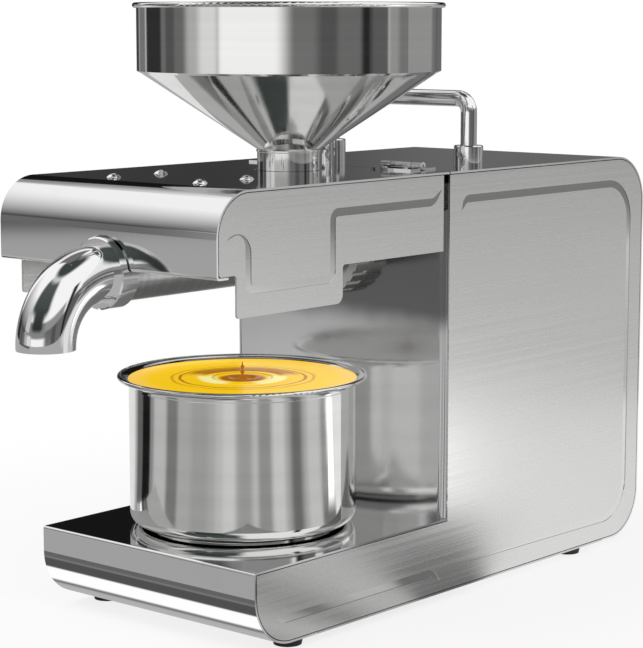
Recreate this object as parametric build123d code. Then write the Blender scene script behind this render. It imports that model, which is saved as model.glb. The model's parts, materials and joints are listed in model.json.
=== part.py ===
from build123d import *
import math
import os

# Household screw oil press. Millimetres, +Z up, the front (where the cake comes out) towards -Y.
# The model is drawn about the seam where the cover meets the housing, on the underside of the
# side panels, and moved at the end so that its origin is the middle of its footprint.

# Driving sizes of the whole press
WIDTH = 170.0
HEIGHT = 253.4
REAR_DEPTH = 210.0
BASE_REACH = 171.0
TRAY_HEIGHT = 45.0
COVER_REACH = 199.2
SHEET = 1.2
EDGE_GAP = 0.5
CORNER_RADIUS = 30.0
HOPPER_BACK = 46.6
PRESS_AXIS_HEIGHT = 205.0
RUNNING_FIT = 0.05
LOOSE_FIT = 0.3
OVERRUN = 2.0

# Front cover
NOSE_RADIUS = 25.0
COVER_FACE_DROP = 46.4
COVER_HEM = 9.0
COVER_HEM_RADIUS = 2.0
COVER_SEAM_GAP = 0.6
COVER_SIDE_START = 6.0
COVER_LEG_FRONT = 15.2
COVER_LEG_LENGTH = 86.4
COVER_LEG_DROP = 21.5
COVER_LEG_RADIUS = 5.0
COVER_CORNER_RADIUS = 2.0
NECK_HOLE_GAP = 1.8
COVER_SCREW_SPREAD = 34.0
COVER_SCREW_BACK = 120.7
COVER_SCREW_PITCH = 37.7
COVER_SCREW_HEAD = 4.3
COVER_SCREW_DOME = 2.4
COVER_SCREW_SHANK = 2.0
SHIELD_DROP = 8.0
SHIELD_THICKNESS = 0.8
SHIELD_MARGIN = 10.0
SHIELD_SPACER = 4.0

# Hinges of the cover
HINGE_SPREAD = 49.3
HINGE_LENGTH = 31.0
HINGE_LEAF_REACH = 12.0
HINGE_LEAF = 1.2
HINGE_AXIS_RISE = 2.6
HINGE_KNUCKLE = 2.3
HINGE_PIN = 1.1
HINGE_MIDDLE_SHARE = 0.5
HINGE_RIVET = 1.8
HINGE_RIVET_DOME = 0.7

# Front wall of the housing, a shallow pressed pan
WALL_STEP = 3.6
WALL_RADIUS = 4.0
WALL_PAN_DROP = 21.9

# Pressed line on the side panels
LINE_WIDTH = 4.6
LINE_DEPTH = 0.35
LINE_INSET = 16.8
LINE_TIP = 7.0
LINE_CORNER = 9.0
LINE_REAR_CORNER = 24.0

# Rear sheet
SHEET_HEM = 42.0
BASE_HEM = 52.0
VENT_ROWS = 9
VENT_COLUMNS = 2
VENT_LENGTH = 30.0
VENT_SLOT = 3.0
VENT_PITCH = 7.0
VENT_COLUMN_PITCH = 38.0
CASE_SCREW_INSET = 15.0
CASE_SCREW_LOW = 36.0
CASE_SCREW_DROP = 36.0
CASE_SCREW_HEAD = 3.4
CASE_SCREW_DOME = 1.6
CASE_SCREW_SHANK = 1.5
CASE_SCREW_LENGTH = 6.0

# Bottom plate and feet
FLOOR_SLOTS = 8
FLOOR_SLOT_LENGTH = 60.0
FLOOR_SLOT_WIDTH = 3.5
FLOOR_SLOT_PITCH = 9.0
FOOT_RADIUS = 9.0
FOOT_TAPER = 1.0
FOOT_HEIGHT = 5.0
FOOT_SIDE_INSET = 12.0
FOOT_FRONT_INSET = 40.0
FOOT_REAR_INSET = 65.0
FOOT_BORE = 2.2
FOOT_RECESS = 4.6
FOOT_RECESS_DEPTH = 2.6
FOOT_SCREW_HEAD = 3.8
FOOT_SCREW_HEAD_HEIGHT = 1.8
FOOT_SCREW_LENGTH = 8.0

# Carrying handle
HANDLE_SPREAD = 55.4
HANDLE_BACK = 57.0
HANDLE_ROD = 5.0
HANDLE_RISE = 40.5
HANDLE_BEND = 8.2
SOCKET_RADIUS = 9.0
SOCKET_HEIGHT = 12.0
SOCKET_CHAMFER = 0.6
SET_SCREW = 2.0
SET_SCREW_LENGTH = 2.8
SET_SCREW_RISE = 6.4
SET_SCREW_HEX = 1.0

# Hopper
HOPPER_RADIUS = 90.1
HOPPER_LIP = 2.6
HOPPER_RIM = 98.3
HOPPER_BAND = 39.6
HOPPER_SHOULDER = 2.4
HOPPER_CONE_BOTTOM = 12.3
HOPPER_WALL = 1.0
NECK_RADIUS = 19.2
NECK_WALL = 1.0
NECK_SEAT_DROP = 27.2
NECK_BEAD = 0.5
NECK_BEAD_HEIGHT = 1.6
BEAD_ROUNDING_SHARE = 0.9

# Oil cup
CUP_SIDE_SHIFT = 5.7
CUP_BACK = 82.5
CUP_RADIUS = 67.4
CUP_LIP = 6.9
CUP_LIP_ROLL = 1.3
CUP_HEIGHT = 88.7
CUP_WALL = 1.0
CUP_CORNER = 7.0
CUP_FLARE_HEIGHT = 6.0
CUP_FOOT = 58.0
CUP_FOOT_WIDTH = 2.0
CUP_FOOT_HEIGHT = 0.8
CUP_SEAT_GAP = 0.1

# Cake elbow at the front
ELBOW_OUTER = 16.2
ELBOW_WALL = 1.8
ELBOW_BEND = 36.8
ELBOW_DROP = 37.6
ELBOW_LEAD = 1.5
COLLAR_RADIUS = 20.0
COLLAR_PROUD = 5.0
COLLAR_INSIDE = 7.0
COLLAR_EDGE = 0.8
NOTCH_GAP = 0.9

# Press chamber
BARREL_RADIUS = 17.0
BARREL_BORE = 12.0
BARREL_SHORT = 0.4
FEED_BOSS = 23.0
FEED_WALL_GAP = 0.4
FEED_SEAT_DEPTH = 6.0
FEED_BORE = 9.5
OIL_SLOTS = 7
OIL_SLOT_PITCH = 5.0
OIL_SLOT_WIDTH = 0.9
OIL_SLOT_SPAN = 20.0
SEAT_OUTER = 24.0
SEAT_BORE = 22.0
SEAT_FLANGE = 33.0
SEAT_FLANGE_THICKNESS = 4.0
NUT_RADIUS = 30.0
NUT_LENGTH = 13.9
NUT_RIBS = 24
NUT_GROOVE = 1.2
NUT_GROOVE_WIDTH = 3.0
HEATER_FRONT_INSET = 2.5

# Screw
SCREW_CORE = 6.8
SCREW_CORE_END = 9.6
SCREW_RADIUS = 11.6
SCREW_PITCH = 22.0
SCREW_FLIGHT_ANGLE = 62.0
SCREW_COLLAR_LENGTH = 5.0
SCREW_COLLAR = 11.0
SCREW_TIP = 8.0
SCREW_FRONT_INSET = 12.0
HEX_ACROSS = 12.0
HEX_CLEARANCE = 0.1
HEX_DEPTH = 19.0

# Gearbox
CASE_FRONT = 16.0
CASE_PLATE = 4.0
CASE_CAVITY = 42.0
CASE_WALL = 6.0
CASE_TOP_WALL = 3.5
CASE_HALF_CAVITY = 48.0
CASE_CEILING = 41.5
CASE_FLOOR = 80.0
CASE_CORNER = 10.0
CASE_SCREW_RADIUS = 2.0
CASE_SCREW_CAP = 3.0
CASE_SCREW_CAP_HEIGHT = 3.0
CASE_BOLT_SHARES = (0.035, 0.36, 0.6)
PRESSURE_ANGLE = 25.0
ADDENDUM_SHARE = 0.8
DEDENDUM_SHARE = 1.05
BACKLASH_SHARE = 0.12
OUTPUT_TEETH = 44
SLOW_PINION_TEETH = 12
SLOW_GEAR_TEETH = 48
FAST_PINION_TEETH = 12
FAST_GEAR_TEETH = 60
ROTOR_TEETH = 12
SLOW_MODULE = 1.75
MIDDLE_MODULE = 1.25
FAST_MODULE = 1.0
SLOW_SIDE = 15.0
FAST_SIDE = -5.0
GEAR_GAP = 3.0
SLOW_FACE = 14.0
MIDDLE_FACE = 9.0
FAST_FACE = 7.0
PINION_EXTRA = 1.0
OUTPUT_SHAFT = 11.0
OUTPUT_FRONT_INSET = 14.0
THRUST_COLLAR = 15.0
THRUST_RADIUS = 16.5
THRUST_LENGTH = 10.0
SLOW_SHAFT = 6.0
FAST_SHAFT = 5.0
ROTOR_SHAFT = 4.0
BEARING_WALL = 5.0
SHAFT_END_GAP = 0.8

# Motor
MOTOR_RADIUS = 48.0
MOTOR_SHELL = 2.5
MOTOR_LENGTH = 94.0
MOTOR_PLATE = 4.0
MAGNET_INNER = 34.5
MAGNET_ANGLE = 136.0
MAGNET_LENGTH = 64.0
MAGNET_INSET = 12.0
ROTOR_RADIUS = 33.5
ROTOR_LENGTH = 58.0
ROTOR_SLOTS = 12
ROTOR_SLOT_WIDTH = 3.0
ROTOR_SLOT_DEPTH = 13.0
COMMUTATOR_RADIUS = 12.0
COMMUTATOR_LENGTH = 11.0
COMMUTATOR_GAP = 5.0
BRUSH_WIDTH = 5.0
BRUSH_LENGTH = 12.0
BRUSH_HEIGHT = 6.0
BRUSH_GAP = 0.3
BRUSH_BOX_WALL = 1.2
FAN_RADIUS = 40.0
FAN_HUB = 9.0
FAN_WIDTH = 12.0
FAN_BLADES = 7
FAN_BLADE = 1.6
FAN_PITCH_ANGLE = 35.0
FAN_GAP = 5.0
SADDLE_HALF_WIDTH = 34.0
SADDLE_THICKNESS = 3.0
SADDLE_RISE = 16.0
SADDLE_FOOT = 12.0
SADDLE_INSET = 22.0
SADDLE_PITCH = 42.0
STAND_LEG = 4.0
STAND_FOOT = 10.0

# Electrical parts
SWITCH_BACKS = (100.0, 138.0)
SWITCH_HEIGHT = 172.0
SWITCH_WIDTH = 21.0
SWITCH_TALL = 28.0
SWITCH_FLANGE = 2.0
SWITCH_BORDER = 3.0
SWITCH_DEPTH = 22.0
SWITCH_PIN_WALL = 1.2
ROCKER_TILT = 9.0
ROCKER_GAP = 0.5
ROCKER_PROUD = 1.6
ROCKER_THICKNESS = 5.0
ROCKER_AXIS_INSET = 2.5
ROCKER_PIVOT = 1.5
BOARD_SIZE = 96.0
BOARD_THICKNESS = 1.6
BOARD_BACK = 130.0
BOARD_HEIGHT = 84.0
STANDOFF_LENGTH = 12.0
STANDOFF_RADIUS = 3.0
STANDOFF_INSET = 6.0
CAPACITOR_RADIUS = 7.0
CAPACITOR_LENGTH = 14.0
RELAY_LENGTH = 20.0
RELAY_WIDTH = 15.0
RELAY_DEPTH = 13.0
PARTS_EDGE_GAP = 1.0
INLET_INSET = 41.0
INLET_HEIGHT = 33.0
INLET_WIDTH = 27.5
INLET_TALL = 20.0
INLET_FLANGE_WIDTH = 32.0
INLET_FLANGE_TALL = 25.0
INLET_FLANGE = 2.5
INLET_DEPTH = 24.0
INLET_POCKET_WIDTH = 22.5
INLET_POCKET_TALL = 14.0
INLET_POCKET_DEPTH = 17.0
INLET_PIN_WIDTH = 2.0
INLET_PIN_TALL = 4.0
INLET_PIN_PITCH = 7.0
INLET_PIN_OFFSET = 2.0

# Places worked out from the sizes above
HALF = WIDTH / 2
PANEL_INNER = HALF - SHEET
CASE_SCREW_SPREAD = HALF - CASE_SCREW_INSET
INLET_SIDE = INLET_INSET - HALF
INSET = SHEET + EDGE_GAP
TOP_UNDERSIDE = HEIGHT - SHEET
FACE_BOTTOM = HEIGHT - COVER_FACE_DROP
LEG_BOTTOM = FACE_BOTTOM - COVER_LEG_DROP
WALL_TOP = HEIGHT - WALL_PAN_DROP
BARREL_FRONT = -(COVER_REACH + BARREL_SHORT)
BARREL_BACK = CASE_FRONT
FEED_TOP = HEIGHT - NECK_SEAT_DROP + FEED_SEAT_DEPTH
NECK_BOTTOM = HEIGHT - NECK_SEAT_DROP
CASE_BACK = CASE_FRONT + CASE_PLATE + CASE_CAVITY
COVER_PLATE_BACK = CASE_BACK + CASE_PLATE
CASE_TOP = PRESS_AXIS_HEIGHT + CASE_CEILING
ELBOW_FRONT = COVER_REACH + COLLAR_PROUD + ELBOW_LEAD + ELBOW_BEND + ELBOW_OUTER
REAR_END = REAR_DEPTH + INLET_FLANGE
SHIFT = Location((0, (ELBOW_FRONT - REAR_END) / 2, FOOT_HEIGHT))
SLOW_DISTANCE = SLOW_MODULE * (OUTPUT_TEETH + SLOW_PINION_TEETH) / 2
MIDDLE_DISTANCE = MIDDLE_MODULE * (SLOW_GEAR_TEETH + FAST_PINION_TEETH) / 2
FAST_DISTANCE = FAST_MODULE * (FAST_GEAR_TEETH + ROTOR_TEETH) / 2
OUTPUT_AXIS = (0.0, PRESS_AXIS_HEIGHT)
SLOW_AXIS = (SLOW_SIDE, OUTPUT_AXIS[1] - math.sqrt(SLOW_DISTANCE**2 - SLOW_SIDE**2))
FAST_AXIS = (FAST_SIDE, SLOW_AXIS[1] - math.sqrt(MIDDLE_DISTANCE**2 - (SLOW_SIDE - FAST_SIDE) ** 2))
ROTOR_AXIS = (0.0, FAST_AXIS[1] - math.sqrt(FAST_DISTANCE**2 - FAST_SIDE**2))
SLOW_PLANE = CASE_FRONT + CASE_PLATE + GEAR_GAP
MIDDLE_PLANE = SLOW_PLANE + SLOW_FACE + GEAR_GAP
FAST_PLANE = MIDDLE_PLANE + MIDDLE_FACE + GEAR_GAP
MOTOR_FRONT = COVER_PLATE_BACK
MOTOR_BACK = MOTOR_FRONT + MOTOR_LENGTH
FAN_FRONT = MOTOR_BACK + MOTOR_PLATE + FAN_GAP


# Shapes used throughout
def block(x0, x1, y0, y1, z0, z1):
    """A box between two limits along each axis."""
    return Pos((x0 + x1) / 2, (y0 + y1) / 2, (z0 + z1) / 2) * Box(x1 - x0, y1 - y0, z1 - z0)


def rod_y(radius, y0, y1, x=0.0, z=0.0):
    """A round bar along Y."""
    bar = Cylinder(radius, y1 - y0, align=(Align.CENTER, Align.CENTER, Align.MIN))
    return Pos(x, y0, z) * Rot(-90, 0, 0) * bar


def ring_y(outer, inner, y0, y1, x=0.0, z=0.0):
    """A round sleeve along Y."""
    return rod_y(outer, y0, y1, x, z) - rod_y(inner, y0 - OVERRUN, y1 + OVERRUN, x, z)


def rod_z(radius, z0, z1, x=0.0, y=0.0):
    """A round bar along Z."""
    return Pos(x, y, z0) * Cylinder(radius, z1 - z0, align=(Align.CENTER, Align.CENTER, Align.MIN))


def rod_x(radius, x0, x1, y=0.0, z=0.0):
    """A round bar along X."""
    bar = Cylinder(radius, x1 - x0, align=(Align.CENTER, Align.CENTER, Align.MIN))
    return Pos(x0, y, z) * Rot(0, 90, 0) * bar


def dome_z(radius, height, z, x=0.0, y=0.0):
    """A shallow round head that stands on a level surface."""
    sphere_radius = (radius**2 + height**2) / (2 * height)
    ball = Pos(x, y, z + height - sphere_radius) * Sphere(sphere_radius)
    return ball & rod_z(radius, z, z + height + OVERRUN, x, y)


def offset_points(points, distance):
    """The corners of an open path moved to its left by a distance."""
    moved = []
    last = len(points) - 1
    for index in range(last + 1):
        before = points[max(index - 1, 0)]
        after = points[min(index + 1, last)]
        here = points[index]
        start = before if index else here
        end = after if index < last else here
        first = unit(start, here) if index else unit(here, end)
        second = unit(here, end) if index < last else first
        normal_first = (-first[1], first[0])
        normal_second = (-second[1], second[0])
        scale = distance / (1 + normal_first[0] * normal_second[0] + normal_first[1] * normal_second[1])
        moved.append((here[0] + scale * (normal_first[0] + normal_second[0]),
                      here[1] + scale * (normal_first[1] + normal_second[1])))
    return moved


def unit(start, end):
    """The direction from one point to another, with a length of one."""
    length = math.hypot(end[0] - start[0], end[1] - start[1])
    return ((end[0] - start[0]) / length, (end[1] - start[1]) / length)


def left_turns(points):
    """For each inner corner of a path, whether it turns left."""
    turns = []
    for before, here, after in zip(points, points[1:], points[2:]):
        first = unit(before, here)
        second = unit(here, after)
        turns.append(first[0] * second[1] - first[1] * second[0] > 0)
    return turns


def path_edges(points, radii):
    """An open path with rounded corners."""
    if len(points) == 2:
        return Polyline(points[0], points[1])
    return FilletPolyline(*points, radius=radii)


def bent_outline(points, radii, thickness):
    """The section of a sheet that lies to the left of a path with rounded corners."""
    inner = offset_points(points, thickness)
    inner_radii = [r - thickness if left else r + thickness for r, left in zip(radii, left_turns(points))]
    outer_path = path_edges(points, radii)
    inner_path = path_edges(inner, inner_radii)
    ends = [Line(points[0], inner[0]), Line(points[-1], inner[-1])]
    return make_face(outer_path.edges() + inner_path.edges() + ends)


def pointed_band(points, radii, width):
    """A flat band along a path with rounded corners, drawn to a point at both ends."""
    outer = offset_points(points, -width / 2)
    inner = offset_points(points, width / 2)
    turns = left_turns(points)
    outer_radii = [r + width / 2 if left else r - width / 2 for r, left in zip(radii, turns)]
    inner_radii = [r - width / 2 if left else r + width / 2 for r, left in zip(radii, turns)]
    outer_path = path_edges([points[0]] + outer[1:-1] + [points[-1]], outer_radii)
    inner_path = path_edges([points[0]] + inner[1:-1] + [points[-1]], inner_radii)
    return make_face(outer_path.edges() + inner_path.edges())


def across(face, x0, x1):
    """A section in (depth, height) pulled across the width."""
    return extrude(Plane(origin=(x0, 0, 0), x_dir=(0, 1, 0), z_dir=(1, 0, 0)) * face, amount=x1 - x0)


def along(face, y0, y1):
    """A section in (side, height) pulled along the depth."""
    return extrude(Plane(origin=(0, y1, 0), x_dir=(1, 0, 0), z_dir=(0, -1, 0)) * face, amount=y1 - y0)


def turned(points, x=0.0, y=0.0, arcs=()):
    """A closed profile in (radius, height) turned about a vertical axis; arcs are extra edges."""
    edges = [Line(a, b) for a, b in zip(points, points[1:])] + list(arcs)
    face = Plane.XZ * make_face(edges)
    return Pos(x, y, 0) * revolve(face, axis=Axis.Z)


def rounded_plate(corners, radii):
    """A closed flat outline with its own radius at each corner."""
    face = make_face(Polyline(*corners, close=True).edges())
    for corner, radius in zip(corners, radii):
        if radius > 0:
            vertex = face.vertices().sort_by_distance(Vector(*corner))[0]
            face = fillet(vertex, radius)
    return face


def merge(shapes):
    """One solid made of several that touch or overlap."""
    whole = shapes[0]
    for shape in shapes[1:]:
        whole = whole + shape
    return whole


# Housing
def panel_outline():
    """The L-shaped side panel, inside the edges of the sheets that wrap round it."""
    inner_radius = CORNER_RADIUS - INSET
    front = -BASE_REACH + INSET
    back = REAR_DEPTH - INSET
    tray = TRAY_HEIGHT - INSET
    top = HEIGHT - INSET
    corners = [(front, tray), (front, INSET), (back, INSET), (back, top), (0, top), (0, tray)]
    return rounded_plate(corners, [0, inner_radius, inner_radius, inner_radius, 0, 0])


def rear_line():
    """The pressed line that frames the rear panel on three sides."""
    near = COVER_SIDE_START + LINE_CORNER
    far = REAR_DEPTH - LINE_INSET
    low = LINE_INSET - LINE_WIDTH / 2
    high = HEIGHT - LINE_INSET
    tip = near - LINE_TIP / 2
    points = [(tip, high - LINE_TIP), (near, high), (far, high), (far, low), (tip, low)]
    return pointed_band(points, [LINE_CORNER / 2, LINE_REAR_CORNER, LINE_REAR_CORNER], LINE_WIDTH)


def base_line():
    """The pressed line along the foot of the base."""
    low = LINE_INSET - LINE_WIDTH / 2
    front = -BASE_REACH + LINE_INSET + LINE_WIDTH
    back = -LINE_CORNER - LINE_WIDTH
    start = (front - LINE_TIP, low + LINE_TIP)
    end = (back + LINE_TIP, low - LINE_TIP)
    points = [start, (front, low), (back, low), end]
    return pointed_band(points, [LINE_CORNER, LINE_CORNER], LINE_WIDTH)


def side_panel(side):
    """One side panel with its pressed lines; side is 1 at +X and -1 at -X."""
    x0, x1 = sorted((side * PANEL_INNER, side * HALF))
    panel = across(panel_outline(), x0, x1)
    g0, g1 = sorted((side * (HALF - LINE_DEPTH), side * (HALF + OVERRUN)))
    panel = panel - across(rear_line(), g0, g1) - across(base_line(), g0, g1)
    if side < 0:
        for back in SWITCH_BACKS:
            half_width, half_tall = SWITCH_WIDTH / 2, SWITCH_TALL / 2
            panel = panel - block(x0 - OVERRUN, x1 + OVERRUN, back - half_width, back + half_width,
                                  SWITCH_HEIGHT - half_tall, SWITCH_HEIGHT + half_tall)
    return panel


def case_screw_places():
    """Where the rear sheet is screwed, as (x, z)."""
    heights = (CASE_SCREW_LOW, HEIGHT - CASE_SCREW_DROP)
    return [(side * CASE_SCREW_SPREAD, z) for side in (-1, 1) for z in heights]


def rear_wrap():
    """The sheet that runs over the top, down the back and under the rear."""
    points = [(REAR_DEPTH - SHEET_HEM, 0), (REAR_DEPTH, 0), (REAR_DEPTH, HEIGHT), (LOOSE_FIT, HEIGHT)]
    sheet = across(bent_outline(points, [CORNER_RADIUS, CORNER_RADIUS], SHEET), -HALF, HALF)
    back0, back1 = REAR_DEPTH - SHEET - OVERRUN, REAR_DEPTH + OVERRUN
    for column in range(VENT_COLUMNS):
        x = (column - (VENT_COLUMNS - 1) / 2) * VENT_COLUMN_PITCH
        for row in range(VENT_ROWS):
            z = ROTOR_AXIS[1] + (row - (VENT_ROWS - 1) / 2) * VENT_PITCH
            sheet = sheet - block(x - VENT_LENGTH / 2, x + VENT_LENGTH / 2, back0, back1,
                                  z - VENT_SLOT / 2, z + VENT_SLOT / 2)
    sheet = sheet - block(INLET_SIDE - INLET_WIDTH / 2, INLET_SIDE + INLET_WIDTH / 2, back0, back1,
                          INLET_HEIGHT - INLET_TALL / 2, INLET_HEIGHT + INLET_TALL / 2)
    for x, z in case_screw_places():
        sheet = sheet - rod_y(CASE_SCREW_SHANK, back0, back1, x, z)
    for side in (-1, 1):
        sheet = sheet - rod_z(HANDLE_ROD, TOP_UNDERSIDE - OVERRUN, HEIGHT + OVERRUN,
                              side * HANDLE_SPREAD, HANDLE_BACK)
    return sheet


def foot_places():
    """Where the feet stand, as (x, y)."""
    x = HALF - FOOT_SIDE_INSET
    depths = (-BASE_REACH + FOOT_FRONT_INSET, REAR_DEPTH - FOOT_REAR_INSET)
    return [(side * x, y) for side in (-1, 1) for y in depths]


def foot_holes(sheet):
    """A floor sheet with the holes of its feet."""
    for x, y in foot_places():
        sheet = sheet - rod_z(FOOT_BORE, -OVERRUN, SHEET + OVERRUN, x, y)
    return sheet


def base_wrap():
    """The tray, the bullnose front of the base and its underside, in one bent sheet."""
    points = [(-EDGE_GAP, TRAY_HEIGHT), (-BASE_REACH, TRAY_HEIGHT), (-BASE_REACH, 0),
              (BASE_HEM - BASE_REACH, 0)]
    sheet = across(bent_outline(points, [SHEET + EDGE_GAP, CORNER_RADIUS], SHEET), -HALF, HALF)
    return foot_holes(sheet)


def bottom_plate():
    """The flat floor of the housing, with air slots under the motor."""
    front = BASE_HEM - BASE_REACH + LOOSE_FIT
    plate = block(-HALF, HALF, front, REAR_DEPTH - SHEET_HEM - LOOSE_FIT, 0, SHEET)
    for index in range(FLOOR_SLOTS):
        x = (index - (FLOOR_SLOTS - 1) / 2) * FLOOR_SLOT_PITCH
        y = MOTOR_FRONT - SADDLE_FOOT
        plate = plate - block(x - FLOOR_SLOT_WIDTH / 2, x + FLOOR_SLOT_WIDTH / 2, y - FLOOR_SLOT_LENGTH, y,
                              -OVERRUN, SHEET + OVERRUN)
    return foot_holes(plate)


def front_wall():
    """The shallow pan behind the cup, and the plate above it that closes the housing."""
    outer = block(-PANEL_INNER, PANEL_INNER, -WALL_STEP, SHEET, TRAY_HEIGHT, WALL_TOP)
    front_edges = [e for e in outer.edges() if abs(e.center().Y + WALL_STEP) < EDGE_GAP
                   and e.center().Z > TRAY_HEIGHT + EDGE_GAP]
    outer = fillet(front_edges, WALL_RADIUS)
    inner = block(-PANEL_INNER + SHEET, PANEL_INNER - SHEET, -WALL_STEP + SHEET, SHEET + OVERRUN,
                  TRAY_HEIGHT - OVERRUN, WALL_TOP - SHEET)
    inner_edges = [e for e in inner.edges() if abs(e.center().Y + WALL_STEP - SHEET) < EDGE_GAP
                   and e.center().Z > TRAY_HEIGHT]
    inner = fillet(inner_edges, WALL_RADIUS - SHEET)
    pan = outer - inner
    plate = block(-PANEL_INNER, PANEL_INNER, 0, SHEET, WALL_TOP - SHEET, TOP_UNDERSIDE)
    return pan + plate - rod_y(SEAT_OUTER, -WALL_STEP - OVERRUN, SHEET + OVERRUN, 0, PRESS_AXIS_HEIGHT)


def rubber_feet():
    """Four tapered rubber feet with a sunk screw hole."""
    feet = []
    for x, y in foot_places():
        foot = Pos(x, y, -FOOT_HEIGHT) * Cone(FOOT_RADIUS - FOOT_TAPER, FOOT_RADIUS, FOOT_HEIGHT,
                                              align=(Align.CENTER, Align.CENTER, Align.MIN))
        foot = foot - rod_z(FOOT_BORE, -FOOT_HEIGHT - OVERRUN, OVERRUN, x, y)
        feet.append(foot - rod_z(FOOT_RECESS, -FOOT_HEIGHT - OVERRUN, -FOOT_HEIGHT + FOOT_RECESS_DEPTH, x, y))
    return feet


def foot_screws():
    """The screws that hold the feet, with nuts inside the base."""
    screws = []
    head = -FOOT_HEIGHT + FOOT_RECESS_DEPTH
    for x, y in foot_places():
        screw = rod_z(FOOT_SCREW_HEAD, head - FOOT_SCREW_HEAD_HEIGHT, head, x, y)
        screw = screw + rod_z(FOOT_BORE, head, head + FOOT_SCREW_LENGTH, x, y)
        screws.append(screw + rod_z(FOOT_SCREW_HEAD, SHEET, SHEET + FOOT_SCREW_HEAD_HEIGHT, x, y))
    return screws


def case_screws():
    """Domed screws on the back of the housing."""
    screws = []
    for x, z in case_screw_places():
        shank = rod_y(CASE_SCREW_SHANK, REAR_DEPTH - CASE_SCREW_LENGTH, REAR_DEPTH, x, z)
        head = Pos(x, REAR_DEPTH, z) * Rot(-90, 0, 0) * dome_z(CASE_SCREW_HEAD, CASE_SCREW_DOME, 0)
        nut = ring_y(CASE_SCREW_HEAD, CASE_SCREW_SHANK, REAR_DEPTH - SHEET - CASE_SCREW_DOME,
                     REAR_DEPTH - SHEET, x, z)
        screws.append(merge([shank, head, nut]))
    return screws


# Carrying handle
def handle_bar():
    """The bent rod of the carrying handle."""
    low = TOP_UNDERSIDE
    high = HEIGHT + HANDLE_RISE
    points = [(-HANDLE_SPREAD, HANDLE_BACK, low), (-HANDLE_SPREAD, HANDLE_BACK, high),
              (HANDLE_SPREAD, HANDLE_BACK, high), (HANDLE_SPREAD, HANDLE_BACK, low)]
    path = FilletPolyline(*points, radius=HANDLE_BEND)
    section = Plane(origin=points[0], z_dir=(0, 0, 1)) * Circle(HANDLE_ROD)
    return sweep(section, path=path)


def handle_sockets():
    """The two turned sockets that the handle stands in."""
    sockets = []
    for side in (-1, 1):
        x = side * HANDLE_SPREAD
        top = HEIGHT + SOCKET_HEIGHT
        socket = rod_z(SOCKET_RADIUS, HEIGHT, top, x, HANDLE_BACK)
        rim = socket.edges().filter_by(GeomType.CIRCLE).sort_by(Axis.Z)[-1]
        socket = chamfer(rim, SOCKET_CHAMFER)
        socket = socket - rod_z(HANDLE_ROD, HEIGHT - OVERRUN, top + OVERRUN, x, HANDLE_BACK)
        hole_start = HANDLE_BACK - SOCKET_RADIUS - OVERRUN
        sockets.append(socket - rod_y(SET_SCREW, hole_start, HANDLE_BACK, x, HEIGHT + SET_SCREW_RISE))
    return sockets


def handle_set_screws():
    """The grub screws that hold the rod in its sockets."""
    screws = []
    for side in (-1, 1):
        x = side * HANDLE_SPREAD
        z = HEIGHT + SET_SCREW_RISE
        back = HANDLE_BACK - HANDLE_ROD + SET_SCREW / 4
        screw = rod_y(SET_SCREW, back - SET_SCREW_LENGTH, back, x, z)
        screw = screw - rod_z(HANDLE_ROD, z - SET_SCREW - OVERRUN, z + SET_SCREW + OVERRUN, x, HANDLE_BACK)
        key = extrude(Plane(origin=(x, back - SET_SCREW_LENGTH - OVERRUN, z), z_dir=(0, 1, 0))
                      * RegularPolygon(SET_SCREW_HEX, 6), amount=OVERRUN + SET_SCREW_LENGTH / 2)
        screws.append(screw - key)
    return screws


# Front cover
def notch(y0, y1):
    """The opening in the cover's face that straddles the collar of the elbow."""
    radius = COLLAR_RADIUS + NOTCH_GAP
    return (rod_y(radius, y0, y1, 0, PRESS_AXIS_HEIGHT)
            + block(-radius, radius, y0, y1, LEG_BOTTOM - OVERRUN, PRESS_AXIS_HEIGHT))


def cover_shell():
    """The top, nose and face of the cover in one bent sheet."""
    points = [(-COVER_SEAM_GAP, HEIGHT), (-COVER_REACH, HEIGHT), (-COVER_REACH, FACE_BOTTOM),
              (COVER_HEM - COVER_REACH, FACE_BOTTOM)]
    shell = across(bent_outline(points, [NOSE_RADIUS, COVER_HEM_RADIUS], SHEET), -HALF, HALF)
    shell = shell - notch(-COVER_REACH - OVERRUN, COVER_HEM - COVER_REACH + OVERRUN)
    neck_hole = NECK_RADIUS + NECK_HOLE_GAP
    shell = shell - rod_z(neck_hole, TOP_UNDERSIDE - OVERRUN, HEIGHT + OVERRUN, 0, -HOPPER_BACK)
    for x, y in cover_screw_places():
        shell = shell - rod_z(COVER_SCREW_SHANK, TOP_UNDERSIDE - OVERRUN, HEIGHT + OVERRUN, x, y)
    return shell


def cover_line():
    """The pressed line that frames the side of the cover."""
    front = COVER_LEG_FRONT + LINE_WIDTH * 2 - COVER_REACH
    low = LEG_BOTTOM + LINE_INSET - LINE_WIDTH / 2
    high = HEIGHT - LINE_INSET
    back = COVER_LEG_FRONT + COVER_LEG_LENGTH - LINE_INSET / 2 - COVER_REACH
    tail = -COVER_SIDE_START - LINE_CORNER
    points = [(front - LINE_INSET, high - LINE_CORNER), (front, high), (front, low), (back, low),
              (back, high), (tail, high), (tail + LINE_TIP, high + LINE_TIP)]
    radii = [LINE_CORNER, LINE_CORNER / 2, LINE_CORNER / 2, LINE_CORNER / 2, LINE_CORNER]
    return pointed_band(points, radii, LINE_WIDTH)


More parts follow.
